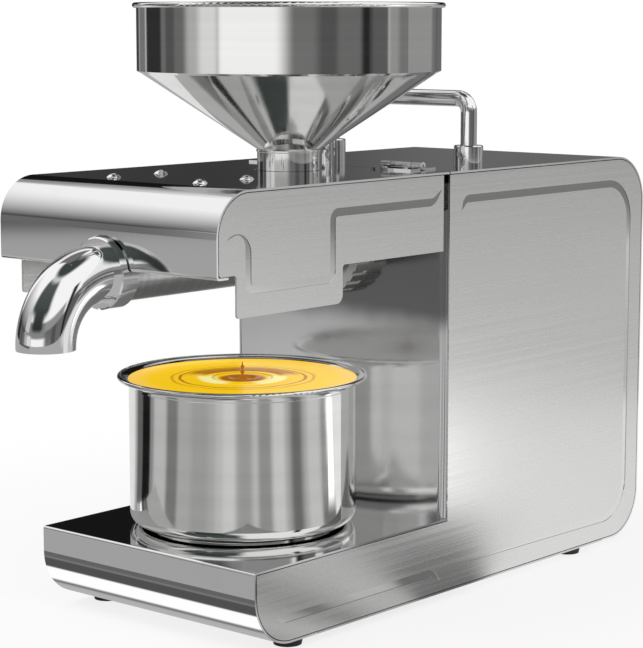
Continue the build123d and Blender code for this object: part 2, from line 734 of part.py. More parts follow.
def cover_side(side):
    """One side of the cover, with the leg that hangs beside the press chamber."""
    x0, x1 = sorted((side * PANEL_INNER, side * HALF))
    front = -COVER_REACH + INSET
    leg_front = COVER_LEG_FRONT - COVER_REACH
    leg_back = leg_front + COVER_LEG_LENGTH
    top = HEIGHT - INSET
    shelf = FACE_BOTTOM + INSET
    corners = [(-COVER_SIDE_START, top), (front, top), (front, shelf), (leg_front, shelf),
               (leg_front, LEG_BOTTOM), (leg_back, LEG_BOTTOM), (leg_back, FACE_BOTTOM),
               (-COVER_SIDE_START, FACE_BOTTOM)]
    radii = [0, NOSE_RADIUS - INSET, COVER_CORNER_RADIUS, COVER_CORNER_RADIUS, COVER_CORNER_RADIUS,
             COVER_LEG_RADIUS, COVER_CORNER_RADIUS, 0]
    panel = across(rounded_plate(corners, radii), x0, x1)
    g0, g1 = sorted((side * (HALF - LINE_DEPTH), side * (HALF + OVERRUN)))
    return panel - across(cover_line(), g0, g1)


def cover_screw_places():
    """The four screws on top of the cover, as (x, y)."""
    backs = (COVER_SCREW_BACK, COVER_SCREW_BACK + COVER_SCREW_PITCH)
    return [(side * COVER_SCREW_SPREAD, -back) for side in (-1, 1) for back in backs]


def heat_shield():
    """The plate under the cover's top that keeps it cool, bent down into side lips on the panels."""
    top = HEIGHT - SHIELD_DROP
    front = NOSE_RADIUS + SHEET - COVER_REACH
    plate = block(-PANEL_INNER, PANEL_INNER, front, -SHIELD_MARGIN, top - SHIELD_THICKNESS, top)
    for side in (-1, 1):
        x0, x1 = sorted((side * (PANEL_INNER - SHIELD_THICKNESS), side * PANEL_INNER))
        plate = plate + block(x0, x1, front, -SHIELD_MARGIN, top - SHIELD_MARGIN, top)
    plate = plate - rod_z(FEED_BOSS + OVERRUN, top - SHIELD_MARGIN, top + OVERRUN, 0, -HOPPER_BACK)
    for x, y in cover_screw_places():
        plate = plate - rod_z(COVER_SCREW_SHANK, top - OVERRUN, top + OVERRUN, x, y)
    return plate


def cover_screws():
    """Domed screws that carry the heat shield on spacers below the cover's top."""
    screws = []
    low = HEIGHT - SHIELD_DROP
    for x, y in cover_screw_places():
        head = dome_z(COVER_SCREW_HEAD, COVER_SCREW_DOME, HEIGHT, x, y)
        shank = rod_z(COVER_SCREW_SHANK, low - SHIELD_THICKNESS - COVER_SCREW_DOME, HEIGHT, x, y)
        spacer = rod_z(SHIELD_SPACER, low, TOP_UNDERSIDE, x, y)
        nut = rod_z(COVER_SCREW_HEAD, low - SHIELD_THICKNESS - COVER_SCREW_DOME, low - SHIELD_THICKNESS, x, y)
        slot = block(x - COVER_SCREW_HEAD, x + COVER_SCREW_HEAD, y - SHIELD_THICKNESS / 2,
                     y + SHIELD_THICKNESS / 2, HEIGHT + COVER_SCREW_DOME / 2, HEIGHT + COVER_SCREW_DOME)
        screws.append(merge([head, shank, spacer, nut]) - slot)
    return screws


# Hinges
def hinge_leaf(x, side, own):
    """One leaf with its own knuckles; side is 1 on the housing and -1 on the cover."""
    axis_height = HEIGHT + HINGE_AXIS_RISE
    clear = HINGE_KNUCKLE + LOOSE_FIT
    x0, x1 = x - HINGE_LENGTH / 2, x + HINGE_LENGTH / 2
    y0, y1 = sorted((side * clear, side * HINGE_LEAF_REACH))
    pieces = [block(x0, x1, y0, y1, HEIGHT, HEIGHT + HINGE_LEAF)]
    for start, end in own:
        n0, n1 = sorted((side * HINGE_PIN, side * clear))
        pieces.append(block(start, end, n0, n1, HEIGHT, HEIGHT + HINGE_LEAF)
                      - rod_x(HINGE_KNUCKLE, start, end, 0, axis_height))
        pieces.append(rod_x(HINGE_KNUCKLE, start, end, 0, axis_height))
    for share in (-1, 1):
        rivet_x = x + share * HINGE_LENGTH / 4
        rivet_y = side * (clear + HINGE_LEAF_REACH) / 2
        pieces.append(dome_z(HINGE_RIVET, HINGE_RIVET_DOME, HEIGHT + HINGE_LEAF, rivet_x, rivet_y))
    leaf = merge(pieces)
    bore = HINGE_PIN if side > 0 else HINGE_PIN + RUNNING_FIT
    return leaf - rod_x(bore, x0 - OVERRUN, x1 + OVERRUN, 0, axis_height)


def hinge_spans(x):
    """The stretches of a hinge: the middle knuckle, and the two at its ends."""
    middle = HINGE_LENGTH * HINGE_MIDDLE_SHARE / 2
    ends = HINGE_LENGTH / 2
    inner = [(x - middle, x + middle)]
    outer = [(x - ends, x - middle - LOOSE_FIT), (x + middle + LOOSE_FIT, x + ends)]
    return inner, outer


def hinge_rear_leaves():
    """The leaves riveted to the top of the housing."""
    leaves = []
    for side in (-1, 1):
        inner, outer = hinge_spans(side * HINGE_SPREAD)
        leaves.append(hinge_leaf(side * HINGE_SPREAD, 1, outer))
    return leaves


def hinge_cover_leaves():
    """The leaves riveted to the top of the cover."""
    leaves = []
    for side in (-1, 1):
        inner, outer = hinge_spans(side * HINGE_SPREAD)
        leaves.append(hinge_leaf(side * HINGE_SPREAD, -1, inner))
    return leaves


def hinge_pins():
    """The pins of the two hinges."""
    axis_height = HEIGHT + HINGE_AXIS_RISE
    return [rod_x(HINGE_PIN, side * HINGE_SPREAD - HINGE_LENGTH / 2, side * HINGE_SPREAD + HINGE_LENGTH / 2,
                  0, axis_height) for side in (-1, 1)]


# Hopper
def hopper_bowl():
    """The round band with its rolled lip, and the cone below it."""
    rim = HEIGHT + HOPPER_RIM
    band_bottom = rim - HOPPER_BAND
    cone_bottom = HEIGHT + HOPPER_CONE_BOTTOM
    outer = HOPPER_RADIUS
    shoulder = outer - HOPPER_SHOULDER
    wall = HOPPER_WALL
    points = [(outer, rim - HOPPER_LIP), (outer, band_bottom), (shoulder, band_bottom - HOPPER_SHOULDER / 2),
              (NECK_RADIUS, cone_bottom), (NECK_RADIUS - NECK_WALL, cone_bottom),
              (NECK_RADIUS - NECK_WALL, cone_bottom + wall),
              (shoulder - wall, band_bottom + wall / 2), (outer - wall, band_bottom + wall * 2),
              (outer - wall, rim - HOPPER_LIP), (outer, rim - HOPPER_LIP)]
    bowl = turned(points, 0, -HOPPER_BACK)
    lip_centre = outer - wall + HOPPER_LIP / 2
    lip = Pos(0, -HOPPER_BACK, rim - HOPPER_LIP / 2) * Torus(lip_centre + wall / 2, HOPPER_LIP / 2 + wall / 4)
    return bowl + lip


def hopper_neck():
    """The tube that carries the hopper in the feed opening."""
    top = HEIGHT + HOPPER_CONE_BOTTOM
    neck = rod_z(NECK_RADIUS, NECK_BOTTOM, top, 0, -HOPPER_BACK)
    bead = rod_z(NECK_RADIUS + NECK_BEAD, top - NECK_BEAD_HEIGHT, top, 0, -HOPPER_BACK)
    edge = bead.edges().filter_by(GeomType.CIRCLE)
    bead = fillet(edge, NECK_BEAD * BEAD_ROUNDING_SHARE)
    neck = neck + bead
    return neck - rod_z(NECK_RADIUS - NECK_WALL, NECK_BOTTOM - OVERRUN, top + OVERRUN, 0, -HOPPER_BACK)


# Oil cup
def oil_cup():
    """The pressed cup with its flared rim, rounded bottom edge and foot bead."""
    low = TRAY_HEIGHT + CUP_SEAT_GAP + CUP_FOOT_HEIGHT
    rim = TRAY_HEIGHT + CUP_HEIGHT
    outer = CUP_RADIUS
    inner = outer - CUP_WALL
    lip = outer + CUP_LIP - CUP_LIP_ROLL
    neck = rim - CUP_FLARE_HEIGHT
    corner = CUP_CORNER
    inner_corner = corner - CUP_WALL
    bend = math.sqrt(0.5)
    arcs = [
        ThreePointArc((outer - corner, low), (outer - corner + corner * bend, low + corner - corner * bend),
                      (outer, low + corner)),
        ThreePointArc((outer - corner, low + CUP_WALL),
                      (outer - corner + inner_corner * bend, low + corner - inner_corner * bend),
                      (inner, low + corner)),
        ThreePointArc((outer, neck), (outer + CUP_LIP / 5, rim - CUP_FLARE_HEIGHT / 3),
                      (lip, rim - CUP_WALL)),
        ThreePointArc((inner, neck), (inner + CUP_LIP / 4, rim - CUP_FLARE_HEIGHT / 4), (lip, rim)),
    ]
    edges = arcs + [
        Line((0, low), (outer - corner, low)),
        Line((outer, low + corner), (outer, neck)),
        Line((lip, rim - CUP_WALL), (lip, rim)),
        Line((inner, neck), (inner, low + corner)),
        Line((outer - corner, low + CUP_WALL), (0, low + CUP_WALL)),
        Line((0, low + CUP_WALL), (0, low)),
    ]
    body = revolve(Plane.XZ * make_face(edges), axis=Axis.Z)
    roll = Pos(0, 0, rim - CUP_WALL / 2) * Torus(lip, CUP_LIP_ROLL)
    foot = rod_z(CUP_FOOT, low - CUP_FOOT_HEIGHT, low) - rod_z(CUP_FOOT - CUP_FOOT_WIDTH, low - CUP_WALL, low)
    return Pos(-CUP_SIDE_SHIFT, -CUP_BACK, 0) * (body + roll + foot)


# Cake elbow
def residue_elbow():
    """The bent tube that turns the dry cake downwards."""
    start = -(COVER_REACH + BARREL_SHORT)
    bend_start = -(COVER_REACH + COLLAR_PROUD + ELBOW_LEAD)
    centre = bend_start - ELBOW_BEND
    low = PRESS_AXIS_HEIGHT - ELBOW_DROP
    bend = math.sqrt(0.5)
    mid = (bend_start - ELBOW_BEND * bend, PRESS_AXIS_HEIGHT - ELBOW_BEND * (1 - bend))
    path = [Line((0, start, PRESS_AXIS_HEIGHT), (0, bend_start, PRESS_AXIS_HEIGHT)),
            ThreePointArc((0, bend_start, PRESS_AXIS_HEIGHT), (0, mid[0], mid[1]),
                          (0, centre, PRESS_AXIS_HEIGHT - ELBOW_BEND)),
            Line((0, centre, PRESS_AXIS_HEIGHT - ELBOW_BEND), (0, centre, low))]
    ring = Circle(ELBOW_OUTER) - Circle(ELBOW_OUTER - ELBOW_WALL)
    section = Plane(origin=(0, start, PRESS_AXIS_HEIGHT), z_dir=(0, -1, 0)) * ring
    return sweep(section, path=Wire(path))


def elbow_collar():
    """The sleeve that runs on the end of the chamber and holds the elbow."""
    front = -(COVER_REACH + COLLAR_PROUD)
    back = -(COVER_REACH - COLLAR_INSIDE)
    collar = rod_y(COLLAR_RADIUS, front, back, 0, PRESS_AXIS_HEIGHT)
    collar = chamfer(collar.edges().filter_by(GeomType.CIRCLE).sort_by(Axis.Y)[0], COLLAR_EDGE)
    split = -(COVER_REACH + BARREL_SHORT)
    collar = collar - rod_y(ELBOW_OUTER, front - OVERRUN, split + OVERRUN, 0, PRESS_AXIS_HEIGHT)
    return collar - rod_y(BARREL_RADIUS + RUNNING_FIT, split, back + OVERRUN, 0, PRESS_AXIS_HEIGHT)


# Press chamber
def press_barrel():
    """The chamber with its feed mouth on top and its oil slots underneath."""
    z = PRESS_AXIS_HEIGHT
    tube = rod_y(BARREL_RADIUS, BARREL_FRONT + LOOSE_FIT, BARREL_BACK, 0, z)
    boss = rod_z(FEED_BOSS, z, FEED_TOP, 0, -HOPPER_BACK)
    barrel = tube + boss
    barrel = barrel - rod_y(BARREL_BORE, BARREL_FRONT - OVERRUN, BARREL_BACK + OVERRUN, 0, z)
    seat = rod_z(NECK_RADIUS + FEED_WALL_GAP, NECK_BOTTOM - LOOSE_FIT, FEED_TOP + OVERRUN, 0, -HOPPER_BACK)
    funnel = Pos(0, -HOPPER_BACK, z + BARREL_BORE - OVERRUN) * Cone(
        FEED_BORE, NECK_RADIUS - NECK_WALL, NECK_BOTTOM - LOOSE_FIT - z - BARREL_BORE + OVERRUN,
        align=(Align.CENTER, Align.CENTER, Align.MIN))
    port = rod_z(FEED_BORE, z, z + BARREL_BORE, 0, -HOPPER_BACK)
    barrel = barrel - seat - funnel - port
    for index in range(OIL_SLOTS):
        y = -CUP_BACK + (index - (OIL_SLOTS - 1) / 2) * OIL_SLOT_PITCH
        barrel = barrel - block(-OIL_SLOT_SPAN / 2, OIL_SLOT_SPAN / 2, y - OIL_SLOT_WIDTH / 2,
                                y + OIL_SLOT_WIDTH / 2, z - BARREL_RADIUS - OVERRUN, z)
    return barrel


def chamber_seat():
    """The flanged sleeve on the gearbox that the chamber slides into."""
    sleeve = rod_y(SEAT_OUTER, -WALL_STEP - NUT_LENGTH, CASE_FRONT, 0, PRESS_AXIS_HEIGHT)
    flange = rod_y(SEAT_FLANGE, CASE_FRONT - SEAT_FLANGE_THICKNESS, CASE_FRONT, 0, PRESS_AXIS_HEIGHT)
    return sleeve + flange - rod_y(SEAT_BORE, -WALL_STEP - NUT_LENGTH - OVERRUN, CASE_FRONT + OVERRUN,
                                   0, PRESS_AXIS_HEIGHT)


def chamber_nut():
    """The ribbed ring in front of the wall that locks the chamber."""
    nut = ring_y(NUT_RADIUS, SEAT_OUTER, -WALL_STEP - NUT_LENGTH, -WALL_STEP, 0, PRESS_AXIS_HEIGHT)
    groove = block(-NUT_GROOVE_WIDTH / 2, NUT_GROOVE_WIDTH / 2, -WALL_STEP - NUT_LENGTH - OVERRUN,
                   -WALL_STEP - NUT_GROOVE * 2, NUT_RADIUS - NUT_GROOVE, NUT_RADIUS + OVERRUN)
    for index in range(NUT_RIBS):
        nut = nut - Pos(0, 0, PRESS_AXIS_HEIGHT) * Rot(0, index * 360 / NUT_RIBS, 0) * groove
    return nut


def heating_ring():
    """The band heater between the seat and the chamber."""
    return ring_y(SEAT_BORE, BARREL_RADIUS, -WALL_STEP - NUT_LENGTH + HEATER_FRONT_INSET,
                  CASE_FRONT, 0, PRESS_AXIS_HEIGHT)


def press_screw():
    """The screw: hexagonal tail, collar, and a tapering core inside one helical flight."""
    z = PRESS_AXIS_HEIGHT
    front = -COVER_REACH + SCREW_FRONT_INSET
    start = -WALL_STEP
    length = start - front
    half_angle = math.radians(SCREW_FLIGHT_ANGLE / 2)
    reach = SCREW_RADIUS / math.cos(half_angle)
    wedge = Polyline((0, 0), (reach * math.sin(half_angle), reach * math.cos(half_angle)),
                     (-reach * math.sin(half_angle), reach * math.cos(half_angle)), close=True)
    lobe = make_face(wedge.edges()) & Circle(SCREW_RADIUS)
    section = Plane(origin=(0, start, z), x_dir=(1, 0, 0), z_dir=(0, -1, 0)) * (Circle(SCREW_CORE) + lobe)
    flight = Solid.extrude_linear_with_rotation(section.faces()[0], (0, start, z), (0, -length, 0),
                                                360 * length / SCREW_PITCH)
    core = Pos(0, start, z) * Rot(90, 0, 0) * Cone(SCREW_CORE, SCREW_CORE_END, length,
                                                  align=(Align.CENTER, Align.CENTER, Align.MIN))
    tip = Pos(0, front, z) * Rot(90, 0, 0) * Cone(SCREW_CORE_END, SCREW_CORE / 2, SCREW_TIP,
                                                 align=(Align.CENTER, Align.CENTER, Align.MIN))
    collar = rod_y(SCREW_COLLAR, start, start + SCREW_COLLAR_LENGTH, 0, z)
    shaft_front = CASE_FRONT - OUTPUT_FRONT_INSET
    tail = hexagon_bar(HEX_ACROSS - HEX_CLEARANCE, start, shaft_front + HEX_DEPTH - HEX_CLEARANCE)
    return merge([core, tip, collar, tail]) + flight


def hexagon_bar(across_flats, y0, y1):
    """A hexagonal bar along the press axis."""
    face = RegularPolygon(across_flats / 2, 6, major_radius=False)
    return along(Pos(0, PRESS_AXIS_HEIGHT) * face, y0, y1)


# Gears
def involute(angle):
    """The involute function of an angle in radians."""
    return math.tan(angle) - angle


def gear_face(teeth, module, phase):
    """A spur gear's outline about its own centre; phase is the angle of one tooth, in degrees."""
    pitch_radius = teeth * module / 2
    pressure = math.radians(PRESSURE_ANGLE)
    base_radius = pitch_radius * math.cos(pressure)
    tip_radius = pitch_radius + ADDENDUM_SHARE * module
    root_radius = pitch_radius - DEDENDUM_SHARE * module
    half_width = (math.pi / 2 - BACKLASH_SHARE) * module / 2 / pitch_radius
    start_radius = max(base_radius, root_radius)

    def flank_angle(radius):
        return half_width + involute(pressure) - involute(math.acos(min(base_radius / radius, 1)))

    def place(radius, angle):
        return (radius * math.cos(angle), radius * math.sin(angle))

    middle_radius = (start_radius + tip_radius) / 2
    flank = [(r, flank_angle(r)) for r in (start_radius, middle_radius, tip_radius)]
    edges = []
    for index in range(teeth):
        axis = math.radians(phase) + index * 2 * math.pi / teeth
        following = axis + 2 * math.pi / teeth
        rising = [place(r, axis - a) for r, a in flank]
        falling = [place(r, axis + a) for r, a in reversed(flank)]
        root_start = place(root_radius, axis - flank[0][1])
        root_end = place(root_radius, axis + flank[0][1])
        root_next = place(root_radius, following - flank[0][1])
        if root_radius < base_radius:
            edges.append(Line(root_start, rising[0]))
            edges.append(Line(falling[-1], root_end))
        edges.append(ThreePointArc(*rising))
        edges.append(Line(rising[-1], falling[0]))
        edges.append(ThreePointArc(*falling))
        edges.append(ThreePointArc(root_end, place(root_radius, axis + math.pi / teeth), root_next))
    return make_face(edges)


def gear(teeth, module, phase, axis, y0, width):
    """A spur gear on an axis given as (x, z)."""
    return along(Pos(axis[0], axis[1]) * gear_face(teeth, module, phase), y0, y0 + width)


def meshing_phase(axis, teeth, phase, other_axis, other_teeth):
    """The phase of a gear that meshes with another whose phase is known."""
    line = math.degrees(math.atan2(other_axis[1] - axis[1], other_axis[0] - axis[0]))
    step = 360 / teeth
    other_step = 360 / other_teeth
    fraction = ((line - phase) / step) % 1
    return line + 180 - other_step * (0.5 - fraction)


SLOW_PINION_PHASE = meshing_phase(OUTPUT_AXIS, OUTPUT_TEETH, 0, SLOW_AXIS, SLOW_PINION_TEETH)
FAST_PINION_PHASE = meshing_phase(SLOW_AXIS, SLOW_GEAR_TEETH, 0, FAST_AXIS, FAST_PINION_TEETH)
ROTOR_PHASE = meshing_phase(FAST_AXIS, FAST_GEAR_TEETH, 0, ROTOR_AXIS, ROTOR_TEETH)


def output_gear():
    """The large gear that turns the screw."""
    wheel = gear(OUTPUT_TEETH, SLOW_MODULE, 0, OUTPUT_AXIS, SLOW_PLANE, SLOW_FACE)
    return wheel - rod_y(OUTPUT_SHAFT, SLOW_PLANE - OVERRUN, SLOW_PLANE + SLOW_FACE + OVERRUN, *OUTPUT_AXIS)


def output_shaft():
    """The shaft with the hexagonal socket that drives the screw, and its thrust collar."""
    front = CASE_FRONT - OUTPUT_FRONT_INSET
    shaft = rod_y(OUTPUT_SHAFT, front, COVER_PLATE_BACK - SHAFT_END_GAP, *OUTPUT_AXIS)
    collar_end = CASE_BACK - THRUST_LENGTH - RUNNING_FIT
    collar = rod_y(THRUST_COLLAR, SLOW_PLANE + SLOW_FACE, collar_end, *OUTPUT_AXIS)
    return shaft + collar - hexagon_bar(HEX_ACROSS, front - OVERRUN, front + HEX_DEPTH)


def slow_idler_shaft():
    """The shaft of the slow idler."""
    return rod_y(SLOW_SHAFT, CASE_FRONT + SHAFT_END_GAP, COVER_PLATE_BACK - SHAFT_END_GAP, *SLOW_AXIS)


def idler_gear(axis, wheel, pinion, shaft_radius):
    """A gear and its pinion cut on one hub; each is (teeth, module, phase, start, width)."""
    body = gear(wheel[0], wheel[1], wheel[2], axis, wheel[3], wheel[4])
    body = body + gear(pinion[0], pinion[1], pinion[2], axis, pinion[3], pinion[4])
    hub_start = min(wheel[3], pinion[3])
    hub_end = max(wheel[3] + wheel[4], pinion[3] + pinion[4])
    hub = rod_y(shaft_radius + PINION_EXTRA, hub_start, hub_end, *axis)
    return body + hub - rod_y(shaft_radius, hub_start - OVERRUN, hub_end + OVERRUN, *axis)


def slow_idler_gear():
    """The slow idler's gear and pinion."""
    wheel = (SLOW_GEAR_TEETH, MIDDLE_MODULE, 0, MIDDLE_PLANE, MIDDLE_FACE)
    pinion = (SLOW_PINION_TEETH, SLOW_MODULE, SLOW_PINION_PHASE, SLOW_PLANE - PINION_EXTRA,
              SLOW_FACE + 2 * PINION_EXTRA)
    return idler_gear(SLOW_AXIS, wheel, pinion, SLOW_SHAFT)


def fast_idler_shaft():
    """The shaft of the fast idler."""
    return rod_y(FAST_SHAFT, CASE_FRONT + SHAFT_END_GAP, COVER_PLATE_BACK - SHAFT_END_GAP, *FAST_AXIS)


def fast_idler_gear():
    """The fast idler's gear and pinion."""
    wheel = (FAST_GEAR_TEETH, FAST_MODULE, 0, FAST_PLANE, FAST_FACE)
    pinion = (FAST_PINION_TEETH, MIDDLE_MODULE, FAST_PINION_PHASE, MIDDLE_PLANE - PINION_EXTRA,
              MIDDLE_FACE + 2 * PINION_EXTRA)
    return idler_gear(FAST_AXIS, wheel, pinion, FAST_SHAFT)


# Gearbox case
def case_outline(wall, top_wall):
    """The gearbox case's outline, grown by its walls."""
    half = CASE_HALF_CAVITY + wall
    low = CASE_FLOOR - top_wall
    high = CASE_TOP + top_wall
    return Pos(0, (low + high) / 2) * RectangleRounded(2 * half, high - low, CASE_CORNER)


def gearbox_screw_places():
    """The screws that hold the gearbox cover, as (x, z)."""
    height = CASE_TOP - CASE_FLOOR
    x = CASE_HALF_CAVITY + CASE_WALL / 2
    heights = [CASE_TOP - share * height - CASE_CORNER / 2 for share in CASE_BOLT_SHARES]
    return [(side * x, z) for side in (-1, 1) for z in heights]


def bearing_list():
    """Each bearing as (axis, shaft radius, start, end)."""
    front = (CASE_FRONT, CASE_FRONT + CASE_PLATE)
    back = (CASE_BACK, COVER_PLATE_BACK)
    motor_back = (MOTOR_BACK, MOTOR_BACK + MOTOR_PLATE)
    return [(OUTPUT_AXIS, OUTPUT_SHAFT, *front), (OUTPUT_AXIS, OUTPUT_SHAFT, *back),
            (SLOW_AXIS, SLOW_SHAFT, *front), (SLOW_AXIS, SLOW_SHAFT, *back),
            (FAST_AXIS, FAST_SHAFT, *front), (FAST_AXIS, FAST_SHAFT, *back),
            (ROTOR_AXIS, ROTOR_SHAFT, *back), (ROTOR_AXIS, ROTOR_SHAFT, *motor_back)]


def bearing_holes(plate, start, end):
    """A plate bored for the bearings that sit between two depths."""
    for axis, radius, y0, y1 in bearing_list():
        if start <= y0 and y1 <= end:
            plate = plate - rod_y(radius + BEARING_WALL, y0 - OVERRUN, y1 + OVERRUN, *axis)
    return plate


def gearbox_case():
    """The cast case: front plate and walls."""
    case = along(case_outline(CASE_WALL, CASE_TOP_WALL), CASE_FRONT, CASE_BACK)
    case = case - along(case_outline(0, 0), CASE_FRONT + CASE_PLATE, CASE_BACK + OVERRUN)
    for x, z in gearbox_screw_places():
        case = case - rod_y(CASE_SCREW_RADIUS, CASE_FRONT + CASE_CAVITY / 2, CASE_BACK + OVERRUN, x, z)
    return bearing_holes(case, CASE_FRONT, CASE_FRONT + CASE_PLATE)


def gearbox_cover():
    """The rear plate of the gearbox, which also carries the motor."""
    plate = along(case_outline(CASE_WALL, CASE_TOP_WALL), CASE_BACK, COVER_PLATE_BACK)
    for x, z in gearbox_screw_places():
        plate = plate - rod_y(CASE_SCREW_RADIUS, CASE_BACK - OVERRUN, COVER_PLATE_BACK + OVERRUN, x, z)
    return bearing_holes(plate, CASE_BACK, COVER_PLATE_BACK)


def gearbox_screws():
    """The cap screws of the gearbox cover."""
    screws = []
    for x, z in gearbox_screw_places():
        shank = rod_y(CASE_SCREW_RADIUS, CASE_FRONT + CASE_CAVITY / 2, COVER_PLATE_BACK, x, z)
        head = rod_y(CASE_SCREW_CAP, COVER_PLATE_BACK, COVER_PLATE_BACK + CASE_SCREW_CAP_HEIGHT, x, z)
        key = rod_y(CASE_SCREW_RADIUS / 2, COVER_PLATE_BACK + CASE_SCREW_CAP_HEIGHT / 2,
                    COVER_PLATE_BACK + CASE_SCREW_CAP_HEIGHT + OVERRUN, x, z)
        screws.append(shank + head - key)
    return screws


def shaft_bearings():
    """The plain bearings of the gearbox and the motor."""
    return [ring_y(radius + BEARING_WALL, radius + RUNNING_FIT, y0, y1, *axis)
            for axis, radius, y0, y1 in bearing_list()]


def thrust_bearing():
    """The ring that takes the screw's push."""
    start = CASE_BACK - THRUST_LENGTH
    return ring_y(THRUST_RADIUS, OUTPUT_SHAFT + RUNNING_FIT, start, CASE_BACK, *OUTPUT_AXIS)


def gearbox_stand():
    """The bridge that carries the gearbox on the floor of the housing."""
    half = CASE_HALF_CAVITY + CASE_WALL
    top = CASE_FLOOR - CASE_TOP_WALL
    y0, y1 = CASE_FRONT, COVER_PLATE_BACK
    pieces = [block(-half, half, y0, y1, top - STAND_LEG, top)]
    for side in (-1, 1):
        x0, x1 = sorted((side * (half - STAND_LEG), side * half))
        pieces.append(block(x0, x1, y0, y1, SHEET, top - STAND_LEG))
        f0, f1 = sorted((side * half, side * (half + STAND_FOOT)))
        pieces.append(block(f0, f1, y0, y1, SHEET, SHEET + STAND_LEG))
    return merge(pieces)


# Motor
def motor_case():
    """The motor's steel can with its front plate."""
    can = rod_y(MOTOR_RADIUS, MOTOR_FRONT, MOTOR_BACK, *ROTOR_AXIS)
    inner = MOTOR_RADIUS - MOTOR_SHELL
    can = can - rod_y(inner, MOTOR_FRONT + MOTOR_SHELL, MOTOR_BACK + OVERRUN, *ROTOR_AXIS)
    return can - rod_y(ROTOR_SHAFT + BEARING_WALL, MOTOR_FRONT - OVERRUN, MOTOR_FRONT + MOTOR_SHELL + OVERRUN,
                       *ROTOR_AXIS)


def motor_end_plate():
    """The plate that closes the back of the motor."""
    plate = rod_y(MOTOR_RADIUS, MOTOR_BACK, MOTOR_BACK + MOTOR_PLATE, *ROTOR_AXIS)
    return bearing_holes(plate, MOTOR_BACK, MOTOR_BACK + MOTOR_PLATE)


def field_magnets():
    """The two curved magnets inside the can."""
    y0 = MOTOR_FRONT + MAGNET_INSET
    magnets = []
    reach = MOTOR_RADIUS * 2
    half_angle = math.radians(MAGNET_ANGLE / 2)
    rise = reach * math.sin(half_angle)
    for side in (-1, 1):
        near = side * reach * math.cos(half_angle)
        far = side * reach
        wedge = Polyline((0, 0), (near, -rise), (far, -rise), (far, rise), (near, rise), close=True)
        ring = Circle(MOTOR_RADIUS - MOTOR_SHELL) - Circle(MAGNET_INNER)
        face = ring & make_face(wedge.edges())
        magnets.append(along(Pos(*ROTOR_AXIS) * face, y0, y0 + MAGNET_LENGTH))
    return magnets


def rotor_start():
    """The depth at which the rotor core starts."""
    return MOTOR_FRONT + MAGNET_INSET + (MAGNET_LENGTH - ROTOR_LENGTH) / 2


def rotor_shaft():
    """The motor shaft, with its pinion cut on the end."""
    pinion = gear(ROTOR_TEETH, FAST_MODULE, ROTOR_PHASE, ROTOR_AXIS, FAST_PLANE - PINION_EXTRA,
                  FAST_FACE + 2 * PINION_EXTRA)
    shaft = rod_y(ROTOR_SHAFT, FAST_PLANE - PINION_EXTRA, FAN_FRONT + FAN_WIDTH + GEAR_GAP, *ROTOR_AXIS)
    return pinion + shaft


def rotor_core():
    """The slotted iron core of the rotor."""
    core = Circle(ROTOR_RADIUS) - Circle(ROTOR_SHAFT)
    slot = Pos(ROTOR_RADIUS - ROTOR_SLOT_DEPTH / 2 + OVERRUN, 0) * Rectangle(ROTOR_SLOT_DEPTH + OVERRUN * 2,
                                                                           ROTOR_SLOT_WIDTH)
    for index in range(ROTOR_SLOTS):
        core = core - Rot(0, 0, index * 360 / ROTOR_SLOTS) * slot
    return along(Pos(*ROTOR_AXIS) * core, rotor_start(), rotor_start() + ROTOR_LENGTH)


def commutator_start():
    """The depth at which the commutator starts."""
    return rotor_start() + ROTOR_LENGTH + COMMUTATOR_GAP


def commutator():
    """The copper commutator."""
    y0 = commutator_start()
    return ring_y(COMMUTATOR_RADIUS, ROTOR_SHAFT, y0, y0 + COMMUTATOR_LENGTH, *ROTOR_AXIS)


def carbon_brushes():
    """The two brushes that ride on the commutator."""
    y = commutator_start() + COMMUTATOR_LENGTH / 2
    x, z = ROTOR_AXIS
    brushes = []
    for side in (-1, 1):
        start = COMMUTATOR_RADIUS + BRUSH_GAP
        x0, x1 = sorted((x + side * start, x + side * (start + BRUSH_LENGTH)))
        brushes.append(block(x0, x1, y - BRUSH_WIDTH / 2, y + BRUSH_WIDTH / 2, z - BRUSH_HEIGHT / 2,
                             z + BRUSH_HEIGHT / 2))
    return brushes


def brush_holders():
    """The boxes that guide the brushes, fixed to the motor's end plate."""
    y = commutator_start() + COMMUTATOR_LENGTH / 2
    x, z = ROTOR_AXIS
    wall = BRUSH_BOX_WALL
    holders = []
    for side in (-1, 1):
        start = COMMUTATOR_RADIUS + BRUSH_LENGTH / 3
        end = MOTOR_RADIUS - MOTOR_SHELL * 3
        x0, x1 = sorted((x + side * start, x + side * end))
        box = block(x0, x1, y - BRUSH_WIDTH / 2 - wall, MOTOR_BACK, z - BRUSH_HEIGHT / 2 - wall,
                    z + BRUSH_HEIGHT / 2 + wall)
        box = box - block(x0 - OVERRUN, x1 + OVERRUN, y - BRUSH_WIDTH / 2, y + BRUSH_WIDTH / 2,
                          z - BRUSH_HEIGHT / 2, z + BRUSH_HEIGHT / 2)
        holders.append(box)
    return holders


def motor_fan():
    """The cooling fan behind the motor."""
    x, z = ROTOR_AXIS
    fan = ring_y(FAN_HUB, ROTOR_SHAFT, FAN_FRONT, FAN_FRONT + FAN_WIDTH, x, z)
    middle = FAN_FRONT + FAN_WIDTH / 2
    chord = FAN_WIDTH * math.sqrt(1 / 2)
    reach = FAN_RADIUS - FAN_HUB + OVERRUN
    for index in range(FAN_BLADES):
        blade = Rot(0, 0, FAN_PITCH_ANGLE) * Box(FAN_BLADE, chord, reach)
        blade = Pos(0, 0, FAN_HUB - OVERRUN + reach / 2) * blade
        fan = fan + Pos(x, middle, z) * Rot(0, index * 360 / FAN_BLADES, 0) * blade
    return fan


